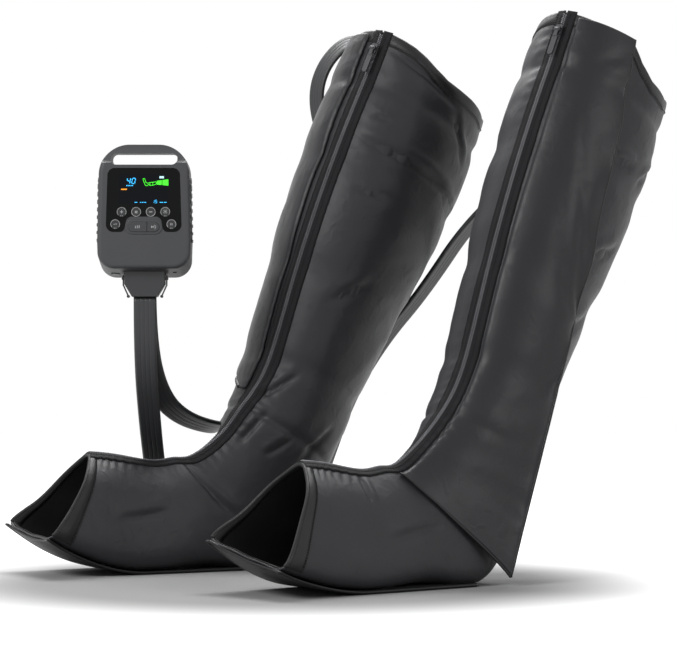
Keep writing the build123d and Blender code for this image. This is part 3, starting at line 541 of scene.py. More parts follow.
class SleeveSurface:
    """The outer surface of one sleeve as a dense net, with its folds."""

    ROWS, COLUMNS = 331, 241
    LOW_T, HIGH_T = -0.06, 12.0
    TAPE_HALF, GATHER, GATHER_HIGH, GATHER_REACH = 17.0, 19.0, 0.9, 17.0
    ZIP_HOLD, TOP_HOLD, TOP_FREE, TOE_FREE = 11.0, 11.3, 0.45, 0.5
    SEAMS, STATION_MM, PINCH, PINCH_HALF, FULLNESS = (6.0, 7.15, 8.1, 9.05, 9.95), 70.0, 3.6, 9.0, 1.6
    WAVES = ((170, 2.6, 5), (85, 2.0, 8), (40, 1.15, 10))
    FOOT_TOP, FOOT_CALM = 5.0, 0.6

    def __init__(
        self, ankle: tuple[float, float], yaw: float, twist: float, girth: float,
        creases: tuple[Crease, ...], seed: int, shape: Callable[[Array], Array],
    ) -> None:
        """Build the net.

        Args:
            ankle: x and y of the sleeve's own origin, in mm.
            yaw: the foot's heading, in degrees.
            twist: how far the leg turns against the foot, in degrees.
            girth: scale of the leg's cross-sections.
            creases: the single folds.
            seed: number that varies the small folds.
            shape: a change made to the smooth net, before its folds.
        """
        turn = radians(yaw)
        self.forward = np.array([-cos(turn), -sin(turn), 0.0])
        self.near = np.array([sin(turn), -cos(turn), 0.0])
        self.origin = np.array([ankle[0], ankle[1], 0.0])
        rims = np.array([self.rim(station, twist, girth) for station in STATIONS])
        rounds = np.arange(self.COLUMNS) / (self.COLUMNS - 1) * 12 - 6
        rims = np.swapaxes(spline_at(np.swapaxes(rims, 0, 1), rounds, True), 0, 1)
        self.t = np.linspace(self.LOW_T, self.HIGH_T, self.ROWS)
        self.angle = rounds * 30
        self.net = shape(spline_at(rims, self.t, False) * MM)
        self.cloth = self.flatten()
        self.out = self.normals()
        lift = self.swell() + self.gathers() + self.ripple(seed)
        lift = lift + sum(self.fold(crease) for crease in creases)
        self.net = self.net + self.out * (lift * MM)[..., None]
        self.out = self.normals()

    def rim(self, station: Station, twist: float, girth: float) -> Array:
        """Return the twelve points of one station's outline, in mm."""
        turn, lift = radians(twist * station.twist), radians(station.tilt)
        front = self.forward * cos(lift) + np.array([0, 0, sin(lift)])
        x_dir = front * cos(turn) + self.near * sin(turn)
        axis = np.array([0, 0, cos(lift)]) - self.forward * sin(lift)
        y_dir = np.cross(axis, x_dir)
        centre = self.origin + self.forward * station.u + np.array([0, 0, station.z])
        scale = girth if station.leg else 1.0
        points = []
        for step in range(12):
            x, y = TENT[12 - step if step > 6 else step]
            y = -y if step > 6 else y
            angle = step * pi / 6
            deep = station.deep * scale * (station.tent * x + (1 - station.tent) * cos(angle))
            wide = station.wide * scale * (station.tent * y + (1 - station.tent) * sin(angle))
            points.append(centre + x_dir * deep + y_dir * wide)
        return np.array(points)

    def flatten(self) -> Array:
        """Measure the cloth: metres round and metres along, at every point of the net."""
        along = np.linalg.norm(np.diff(self.net, axis=0), axis=2)
        around = np.linalg.norm(np.diff(self.net, axis=1), axis=2)
        v = np.concatenate([np.zeros((1, self.COLUMNS)), np.cumsum(along, axis=0)])
        v = v.mean(axis=1, keepdims=True) + 0 * v
        u = np.concatenate([np.zeros((self.ROWS, 1)), np.cumsum(around, axis=1)], axis=1)
        middle = self.COLUMNS // 2
        return np.stack([u - u[:, middle:middle + 1], v], axis=2)

    def normals(self) -> Array:
        """Return the outward direction at every point of the net."""
        along = np.gradient(self.net, axis=0)
        around = np.gradient(self.net, axis=1)
        around[:, 0] = around[:, -1] = self.net[:, 1] - self.net[:, -2]
        out = unit(np.cross(around, along))
        return out

    def fade(self) -> Array:
        """Return how free the cloth is: nothing at the zip and the hems, one away from them."""
        zip_fade = 1 - np.exp(-(self.angle / self.ZIP_HOLD) ** 2)
        top = np.clip((self.TOP_HOLD - self.t) / self.TOP_FREE, 0, 1)
        toe = np.clip(self.t / self.TOE_FREE, 0, 1)
        return (top * toe)[:, None] * zip_fade[None, :]

    def swell(self) -> Array:
        """Return the cloth's fullness between the chambers' seams, in mm."""
        gap = np.min(np.abs(self.t[:, None] - np.array(self.SEAMS)[None, :]) * self.STATION_MM, axis=1)
        pinch = -self.PINCH * np.exp(-(gap / self.PINCH_HALF) ** 2) + self.FULLNESS
        return pinch[:, None] * self.fade() * np.clip((self.t - 5.2) / 0.8, 0, 1)[:, None]

    def gathers(self) -> Array:
        """Return the short gathers that the seam draws into the cloth beside the zip tapes, in mm."""
        aside = np.abs(self.cloth[..., 0]) / MM - self.TAPE_HALF
        run = self.cloth[..., 1] / MM
        wave = np.sin(run * 2 * pi / self.GATHER + 1.7 * np.sin(run / 41) + aside / 19)
        uneven = 0.55 + 0.45 * np.sin(run / 63 + np.sign(self.cloth[..., 0]))
        reach = np.exp(-(aside / self.GATHER_REACH) ** 2)
        return self.GATHER_HIGH * wave * uneven * reach * self.fade()

    def ripple(self, seed: int) -> Array:
        """Return the soft waves and small folds of slack cloth, in mm."""
        chance = np.random.default_rng(seed)
        place = self.net / MM
        total = np.zeros(place.shape[:2])
        for wave, height, count in self.WAVES:
            for _ in range(count):
                heading = chance.normal(0, 1, 3) * (0.7, 0.7, 1.2)
                drift = chance.normal(0, 1, 3)
                heading, drift = heading / np.linalg.norm(heading), drift / np.linalg.norm(drift)
                bend = 1.6 * np.sin(place @ drift / (wave * 1.1) + chance.uniform(0, 6))
                phase = place @ heading * pi / wave + bend + chance.uniform(0, 6)
                crest = 1 - np.abs(np.sin(phase)) ** 0.8
                third = np.cross(heading, drift)
                envelope = 0.5 + 0.5 * np.sin(place @ third / wave + chance.uniform(0, 6))
                total += height * (crest - 0.3) * envelope / count ** 0.5
        calm = np.where(self.t < self.FOOT_TOP, self.FOOT_CALM, 1.0)[:, None]
        return total * self.fade() * calm

    def fold(self, crease: Crease) -> Array:
        """Return one fold's depth over the net, in mm."""
        row = int(np.argmin(np.abs(self.t - crease.t)))
        column = int(np.argmin(np.abs(self.angle - crease.angle)))
        du = (self.cloth[..., 0] - self.cloth[row, column, 0]) / MM
        dv = (self.cloth[..., 1] - self.cloth[row, column, 1]) / MM
        turn = radians(crease.turn)
        x, y = du * cos(turn) + dv * sin(turn), dv * cos(turn) - du * sin(turn)
        reach = np.exp(-(x / (crease.long / 2)) ** 4)
        valley = np.exp(-(y / crease.wide) ** 2)
        shoulder = np.exp(-((y - 2.2 * crease.wide) / (1.5 * crease.wide)) ** 2)
        return crease.deep * reach * (0.55 * shoulder - valley)

    def row(self, t: Array) -> Array:
        """Return the net's row, as a fraction, at places along the sleeve."""
        return (t - self.LOW_T) / (self.HIGH_T - self.LOW_T) * (self.ROWS - 1)

    def read(self, grid: Array, t: Array, angle: Array) -> Array:
        """Read a net between its points.

        Args:
            grid: the net to read, such as places or directions.
            t: places along the sleeve.
            angle: places round it, in degrees from the zip.

        Returns:
            The values at those places.
        """
        t, angle = np.broadcast_arrays(np.asarray(t, float), np.asarray(angle, float))
        angle = (angle + 180) % 360 - 180
        row = np.clip(self.row(t), 0, self.ROWS - 1)
        column = (angle + 180) / 360 * (self.COLUMNS - 1)
        i, j = np.minimum(row.astype(int), self.ROWS - 2), np.minimum(column.astype(int), self.COLUMNS - 2)
        a, b = (row - i)[..., None], (column - j)[..., None]
        return (
            grid[i, j] * (1 - a) * (1 - b) + grid[i + 1, j] * a * (1 - b)
            + grid[i, j + 1] * (1 - a) * b + grid[i + 1, j + 1] * a * b
        )

    def place(self, t: Array, angle: Array, lift: Array | float = 0.0) -> Array:
        """Return points over the cloth.

        Args:
            t: places along the sleeve.
            angle: places round it, in degrees from the zip.
            lift: height above the cloth, in mm.

        Returns:
            The points, in metres.
        """
        height = np.broadcast_to(np.asarray(lift, float), np.broadcast(t, angle).shape)
        return self.read(self.net, t, angle) + self.read(self.out, t, angle) * height[..., None] * MM

    def beside(self, t: Array, offset: float) -> Array:
        """Return the angles that lie `offset` mm round the cloth from the zip, at places along it."""
        rows = np.clip(self.row(t), 0, self.ROWS - 1)
        table = [np.interp(offset * MM, row[:, 0], self.angle) for row in self.cloth]
        return np.interp(rows, np.arange(self.ROWS), table)

    def along(self, t: Array | float, distance: float) -> Array:
        """Return the places that lie `distance` mm further up the sleeve than `t`."""
        length = self.cloth[:, 0, 1]
        return np.interp(np.interp(t, self.t, length) + distance * MM, length, self.t)


def closed_sheet(name: str, top: Array, under: Array, uvs: Array) -> bpy.types.Object:
    """Make a thin closed sheet from its upper and lower nets.

    Args:
        name: the piece's name.
        top: rows and columns of points, in metres.
        under: the same net on the other face.
        uvs: the cloth coordinates of the net.

    Returns:
        The sheet, its faces turned outwards.
    """
    rows, columns = top.shape[:2]
    count = rows * columns
    faces = grid_faces(rows, columns)
    faces += [tuple(reversed([v + count for v in face])) for face in grid_faces(rows, columns)]
    first, last = range(columns), range(count - columns, count)
    edge = list(first) + list(range(2 * columns - 1, count, columns)) + list(last)[-2::-1] \
        + list(range(count - 2 * columns, 0, -columns))
    for a, b in zip(edge, edge[1:] + edge[:1]):
        faces.append((b, a, a + count, b + count))
    points = np.concatenate([top.reshape(-1, 3), under.reshape(-1, 3)])
    piece = mesh_piece(name, points, faces, np.concatenate([uvs.reshape(-1, 2)] * 2))
    turn_outwards(piece)
    return piece


def turn_outwards(piece: bpy.types.Object) -> None:
    """Turn all faces of a closed piece outwards."""
    pick(piece)
    bpy.ops.object.mode_set(mode="EDIT")
    bpy.ops.mesh.select_all(action="SELECT")
    bpy.ops.mesh.normals_make_consistent(inside=False)
    bpy.ops.object.mode_set(mode="OBJECT")


def swept(name: str, surface: SleeveSurface, t: Array, angle: Array, profile: tuple, round_leg: bool) -> \
        bpy.types.Object:
    """Sweep a closed profile over a sleeve, along the zip or round the leg.

    Args:
        name: the piece's name.
        surface: the sleeve it lies on.
        t: places of the path along the sleeve.
        angle: places of the path round it.
        profile: closed outline of pairs, mm beside the path and mm above the cloth.
        round_leg: true where the path runs round the leg, and `beside` means up the sleeve.

    Returns:
        A closed strip.
    """
    rings = []
    for aside, lift in profile:
        if round_leg:
            rings.append(surface.place(surface.along(t, aside), angle, lift))
        else:
            rings.append(surface.place(t, angle + surface.beside(t, aside), lift))
    rows = np.stack(rings, axis=1)
    girth = run_length(np.array(profile)) * MM
    return rod(name, rows, net_uvs(girth[None, :], run_length(rows[:, 0])[:, None]))


def stitch_row(name: str, line: Array, out: Array, lift: float, pitch: float = 4.2) -> bpy.types.Object:
    """Make a row of lock stitches along a line.

    Args:
        name: the piece's name.
        line: points along the seam, in metres.
        out: the cloth's outward direction at each point.
        lift: height of the thread above the line, in mm.
        pitch: length of one stitch and its gap, in mm.

    Returns:
        One mesh of many short rounded stitches.
    """
    line = line + out * lift * MM
    length = run_length(line)
    starts = np.arange(0, length[-1] - pitch * MM, pitch * MM)

    def at(values: Array, where: Array) -> Array:
        """Read values at distances along the seam."""
        return np.stack([np.interp(where, length, values[:, k]) for k in range(3)], axis=1)

    a, b, up = at(line, starts), at(line, starts + pitch * 0.68 * MM), at(out, starts)
    side = np.cross(b - a, up)
    side *= 0.55 * MM / (np.linalg.norm(side, axis=1, keepdims=True) + 1e-12)
    rise = up * 0.5 * MM
    mid = (a + b) / 2 + rise * 0.9
    ring = [a - rise, a + side, mid + side * 0.9, b + side, b - rise, b - side, mid - side * 0.9, a - side,
            mid + rise * 0.5]
    points = np.stack(ring, axis=1).reshape(-1, 3)
    faces = []
    for first in range(0, len(points), 9):
        faces += [(first + i, first + (i + 1) % 8, first + 8) for i in range(8)]
        faces.append(tuple(first + i for i in range(7, -1, -1)))
    return mesh_piece(name, points, faces)


def stitches(
    name: str, surface: SleeveSurface, path: Array, angles: Array, lift: float,
) -> bpy.types.Object:
    """Make a row of lock stitches over a sleeve.

    Args:
        name: the piece's name.
        surface: the sleeve it is sewn to.
        path: places along the sleeve.
        angles: places round it.
        lift: height of the thread above the cloth, in mm.

    Returns:
        One mesh of many short rounded stitches.
    """
    return stitch_row(name, surface.place(path, angles), surface.read(surface.out, path, angles), lift)


# ------------------------------------------------------------------------ sleeves
def smooth(x: Array, low: float, high: float) -> Array:
    """Rise smoothly from zero at `low` to one at `high`."""
    s = np.clip((np.asarray(x, float) - low) / (high - low), 0, 1)
    return s * s * (3 - 2 * s)


@dataclass
class Sleeve:
    """One leg sleeve: cover, lining, sole, zip, hems and the flap beside the zip.

    Attributes:
        side: left or right.
        ankle: x and y of the sleeve's own origin, in mm.
        yaw: the foot's heading, in degrees.
        twist: the leg's turn against the foot, in degrees.
        girth: scale of the leg's cross-sections.
        far_rise: how far the sole's far front corner curls above the near one's plan, in mm.
        near_rise: the same for its near corner.
        hem: places along the sleeve of the top hem, against the angle round it.
        creases: the cloth's single folds.
        seed: number that varies the small folds.
    """

    side: Side
    ankle: tuple[float, float]
    yaw: float
    twist: float
    girth: float
    far_rise: float
    near_rise: float
    hem: tuple[tuple[float, float], ...]
    creases: tuple[Crease, ...]
    seed: int
    cover_rows: int = 300
    cover_columns: int = 200
    cover_t: float = 2.6
    wall_t: float = 9.0
    hem_w: float = 24.0
    tooth_pitch: float = 2.9
    sole_half: float = 79.0
    sole_back: float = -84.0
    sole_flat: float = 120.0
    sole_tip: float = 279.0
    sole_curl: float = 36.0
    off_floor: float = 0.6
    surface: SleeveSurface = field(init=False)
    pieces: dict[str, bpy.types.Object] = field(init=False, default_factory=dict)

    def __post_init__(self) -> None:
        """Build the net that every piece of the sleeve follows."""
        self.surface = SleeveSurface(
            self.ankle, self.yaw, self.twist, self.girth, self.creases, self.seed,
            lambda net: self.curl_toe(net),
        )

    def name(self, part: str) -> str:
        """Return a piece's name with the side in front."""
        return f"{self.side.value}_{part}"

    def keep(self, piece: bpy.types.Object, finish: Finish, slot: str) -> bpy.types.Object:
        """Dress a piece, set it on the sleeves' body and remember it."""
        self.pieces[piece.name] = piece
        return dress(piece, finish, "sleeve_set")

    def rise(self, u: Array, n: Array) -> Array:
        """Return how far the toe's two corners curl up beyond the level sole, in mm."""
        share = np.clip((u - self.sole_flat) / (self.sole_tip - self.sole_flat), 0, 1.1) ** 2
        across = np.clip((n / self.sole_half + 1) / 2, 0, 1)
        return share * (self.far_rise * (1 - across) ** 1.5 + self.near_rise * across ** 1.5)

    def curl_toe(self, net: Array) -> Array:
        """Lift the low part of the toe with the sole's corners, on a net in metres."""
        turn = radians(self.yaw)
        forward, near = np.array([-cos(turn), -sin(turn), 0]), np.array([sin(turn), -cos(turn), 0])
        local = net - np.array([*self.ankle, 0]) * MM
        u, n = local @ forward / MM, local @ near / MM
        low = 1 - smooth(net[..., 2] / MM, 45, 150)
        moved = net.copy()
        moved[..., 2] += self.rise(u, n) * low * MM
        return moved

    def rim(self, angle: Array) -> Array:
        """Return the place along the sleeve of the top hem at each angle."""
        known = np.array(self.hem)
        return np.interp((np.asarray(angle) + 180) % 360 - 180, known[:, 0], known[:, 1])

    def tube(self, name: str, outer: tuple, inner: tuple, columns: int) -> bpy.types.Object:
        """Make a closed wall between two nets that run from the toe to the top hem.

        Args:
            name: the piece's name.
            outer: rows along the outside, each a share of the way up and a height over the cloth in mm.
            inner: rows down the inside, in the same form.
            columns: points round the sleeve.

        Returns:
            The closed wall, with cloth coordinates.
        """
        angle = np.linspace(-180, 180, columns + 1)
        table, rings = [], []
        for share, lift in [*outer, *inner]:
            t = share * self.rim(angle)
            rings.append(self.surface.place(t, angle, lift))
            table.append(self.surface.read(self.surface.cloth, t, angle))
        rows = len(rings)
        points = np.stack(rings)[:, :-1].reshape(-1, 3)
        points[:, 2] = np.maximum(points[:, 2], self.off_floor * MM)
        table = np.stack(table)
        faces, corners = [], []
        for i in range(rows):
            k = (i + 1) % rows
            for j in range(columns):
                right = (j + 1) % columns
                faces.append((i * columns + j, i * columns + right, k * columns + right, k * columns + j))
                corners += [table[i, j], table[i, j + 1], table[k, j + 1], table[k, j]]
        return mesh_piece(name, points, faces, np.array(corners))

    def build_cover(self) -> None:
        """Sew the outer cloth, from the open toe to the top hem."""
        shares = np.linspace(0, 1, self.cover_rows)
        outer = [(share, 0.0) for share in shares]
        inner = [(share, -self.cover_t) for share in np.linspace(1, 0, 50)]
        cover = self.tube(self.name("cover"), outer, inner, self.cover_columns)
        self.keep(cover, COVER_CLOTH, "cover_fabric")
        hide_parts(*[self.name(part) for part in (
            "cover_leg", "cover_foot", "chamber_foot", "chamber_calf", "chamber_knee", "chamber_thigh")])

    def build_lining(self) -> None:
        """Sew the lining: it meets the cover at both hems and stands off it between them."""
        def depth(share: float, extra: float) -> float:
            """Return the height of the lining under the cloth."""
            edge = smooth(min(share * 8, (1 - share) * 14), 0, 1)
            return -self.cover_t - 0.6 - (self.wall_t - self.cover_t) * float(edge) - extra

        shares = np.linspace(0.002, 0.998, 130)
        outer = [(share, depth(share, 0)) for share in shares[::4]]
        inner = [(share, depth(share, 1.4)) for share in shares[::-1]]
        lining = self.tube(self.name("liner"), outer, inner, 120)
        self.keep(lining, LINING_CLOTH, "lining_fabric")
        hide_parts(self.name("lining"))

    def build_hems(self) -> None:
        """Fold and stitch the hems of the toe opening and of the top."""
        w = self.hem_w
        fold = ((w, 0.1), (w - 0.6, 0.9), (w / 2, 1.2), (3, 1.3), (0.6, 1.0), (-1.2, 0.2), (-1.7, -1.6),
                (-1.2, -3.4), (1.5, -4.4), (12, -4.9), (12.4, -4.0), (1.5, -3.0), (0.1, -1.5), (1.5, -0.1))
        angle = np.linspace(-121, 121, 150)
        toe = swept(self.name("toe_hem"), self.surface, np.zeros(150), angle, fold, True)
        self.keep(toe, BINDING, "cover_fabric")
        edge = self.surface.beside(self.rim(np.zeros(1)), 15)[0]
        up = np.linspace(edge, 360 - edge, 170)
        top_fold = tuple((-aside * 0.8, lift) for aside, lift in fold)
        top = swept(self.name("top_hem"), self.surface, self.rim(up), up, top_fold, True)
        self.keep(top, BINDING, "cover_fabric")
        low, high = np.linspace(-119, 119, 400), np.linspace(edge, 360 - edge, 400)
        rows = (
            (np.zeros(400), low, w - 2.5), (np.zeros(400), low, 2.6), (self.rim(high), high, -w * 0.8 + 2.5),
        )
        for number, (path, turn, aside) in enumerate(rows, start=1):
            path = self.surface.along(path, aside)
            row = stitches(self.name(f"hem_stitch_{number}"), self.surface, path, turn, 1.35)
            self.keep(row, THREAD, "cover_fabric")

    def build_zip(self) -> None:
        """Make the zip: two tapes, their stitching and the coil between them."""
        top = float(self.rim(np.zeros(1))[0])
        t = np.linspace(0.02, top + 0.02, 330)
        middle = self.surface.beside(t, 0)
        for hand in (-1, 1):
            outline = [(1.4, 2.6), (2.2, 3.5), (4.0, 3.3), (6.5, 2.6), (14, 2.0), (16.4, 1.7), (17, 0.9),
                       (17, 0.2), (4, 0.8), (1.6, 1.6)]
            profile = tuple((hand * aside, lift) for aside, lift in outline)
            half = swept(self.name("zip_tape_near" if hand > 0 else "zip_tape_far"), self.surface, t, middle,
                         profile, False)
            self.keep(half, ZIP_TAPE, "zip_tape")
            for number, aside in enumerate((15.2, 7.6)):
                path = np.linspace(0.05, top - 0.02, 900)
                name = self.name(f"zip_stitch_{'near' if hand > 0 else 'far'}_{number + 1}")
                turn = self.surface.beside(path, hand * aside)
                row = stitches(name, self.surface, path, turn, 2.2 + number * 0.5)
                self.keep(row, THREAD, "zip_tape")
        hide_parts(self.name("zip_tape"))
        self.build_coil(top)

    def build_coil(self, top: float) -> None:
        """Make the coil's two rows of teeth as one chain.

        Args:
            top: place of the top hem at the zip.
        """
        fine = np.linspace(0.04, top - 0.1, 4000)
        line = self.surface.place(fine, self.surface.beside(fine, 0), 3.6)
        out = self.surface.read(self.surface.out, fine, self.surface.beside(fine, 0))
        length = run_length(line)
        spots = np.arange(0, length[-1], self.tooth_pitch * MM)
        centre = np.stack([np.interp(spots, length, line[:, k]) for k in range(3)], axis=1)
        up = np.stack([np.interp(spots, length, out[:, k]) for k in range(3)], axis=1)
        run = unit(np.gradient(centre, axis=0))
        shape = [(0.2, -0.5, -0.9), (0.2, 0.5, -0.9), (0.5, 0.42, 0.7), (0.5, -0.42, 0.7),
                 (3.3, -0.34, -0.9), (3.3, 0.34, -0.9), (2.9, 0.28, 0.75), (2.9, -0.28, 0.75),
                 (1.7, -0.4, 1.25), (1.7, 0.4, 1.25)]
        sides = [(0, 3, 2, 1), (4, 5, 6, 7), (0, 1, 5, 4), (3, 8, 9, 2), (8, 7, 6, 9), (1, 2, 9, 6, 5),
                 (0, 4, 7, 8, 3)]
        points, faces = [], []
        for hand in (-1, 1):
            shift = 0.0 if hand > 0 else 0.5 * self.tooth_pitch
            for a, r, u in zip(centre, run, up):
                x = np.cross(r, u) * hand
                first = len(points)
                points += [a + MM * (x * px + r * (py * 1.9 + shift) + u * pz) for px, py, pz in shape]
                faces += [tuple(first + v for v in (side if hand < 0 else side[::-1])) for side in sides]
        log.info("coil of %d teeth", len(points) // len(shape))
        coil = mesh_piece(self.name("zip_coil"), np.array(points), faces)
        turn_outwards(coil)
        self.keep(coil, ZIP_TEETH, "zip_teeth")
        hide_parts(self.name("zip_teeth"))

    def build_sole(self) -> None:
        """Cut the sole, curl its toe and edge it with piping."""
        turn = radians(self.yaw)
        forward, near = np.array([-cos(turn), -sin(turn), 0]), np.array([sin(turn), -cos(turn), 0])
        origin = np.array([*self.ankle, 0])
        rows, columns = 90, 40
        u = np.linspace(self.sole_back, self.sole_tip, rows)
        back = np.clip(1 - (u - self.sole_back) / 26, 0, 1)
        half = self.sole_half * (1 - 0.17 * back ** 2.6)
        flare = np.clip((u - self.sole_tip + 30) / 30, 0, 1) ** 2 * 5
        across = np.linspace(-1, 1, columns)
        n = (half + flare)[:, None] * across[None, :]
        tip = np.abs(across) ** 6 * 7
        uu = u[:, None] + tip[None, :] * np.clip((u - 200) / 79, 0, 1)[:, None] \
            + (np.abs(across) ** 4 * 10)[None, :] * back[:, None] ** 2
        curl = self.sole_curl * np.clip((u - self.sole_flat) / (self.sole_tip - self.sole_flat), 0, 1.1) ** 2
        z = curl[:, None] + self.rise(uu, n)
        crown = 1.3 * (1 - across ** 8)[None, :] * np.ones((rows, 1))

        def lay(height: Array) -> Array:
            """Return the net at a height above the sole's underside."""
            return (origin + forward * uu[..., None] + near * n[..., None]) * MM \
                + np.stack([0 * z, 0 * z, (z + height) * MM], axis=2)

        uvs = np.stack([n * MM, uu * MM], axis=2)
        under = 0.6 * (np.abs(across) ** 8)[None, :] + 0 * crown
        sole = closed_sheet(self.name("sole_panel"), lay(3.0 + crown), lay(under), uvs)
        self.keep(sole, SOLE_CLOTH, "sole_fabric")
        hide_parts(self.name("sole"))
        net = lay(2.2 + 0 * crown)
        edge = np.concatenate([net[:-1, 0], net[-1, :-1], net[:0:-1, -1], net[0, :0:-1]])
        self.keep(self.piping(self.name("sole_piping"), edge), BINDING, "sole_fabric")

    def piping(self, name: str, loop: Array, radius: float = 2.1) -> bpy.types.Object:
        """Make round piping along a closed loop of points in metres."""
        run = unit(np.roll(loop, -1, axis=0) - np.roll(loop, 1, axis=0))
        side = unit(np.cross(run, (0, 0, 1.0)))
        up = np.cross(side, run)
        turns = np.linspace(0, 2 * pi, 10, endpoint=False)
        rings = loop[:, None] + radius * MM * (
            side[:, None] * np.cos(turns)[None, :, None] + up[:, None] * np.sin(turns)[None, :, None])
        count, sides = len(loop), len(turns)
        faces = []
        for i in range(count):
            here, ahead = i * sides, (i + 1) % count * sides
            faces += [(here + j, here + (j + 1) % sides, ahead + (j + 1) % sides, ahead + j) for j in range(sides)]
        uvs = net_uvs(turns[None, :] * radius * MM, np.arange(count)[:, None] * UV_STEP)
        piece = mesh_piece(name, rings.reshape(-1, 3), faces, uvs.reshape(-1, 2))
        turn_outwards(piece)
        return piece

    def build(self) -> None:
        """Make every piece of the sleeve but its flap."""
        self.build_cover()
        self.build_lining()
        self.build_hems()
        self.build_zip()
        self.build_sole()
        for part in ("zip_slider", "zip_pull"):
            paint_node(self.name(part), ZIP_METAL)


def paint_node(name: str, finish: Finish) -> None:
    """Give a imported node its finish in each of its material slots."""
    node = bpy.data.objects[name]
    if not node.material_slots:
        node.data.materials.append(finish.material())
    for slot in node.material_slots:
        slot.material = finish.material()


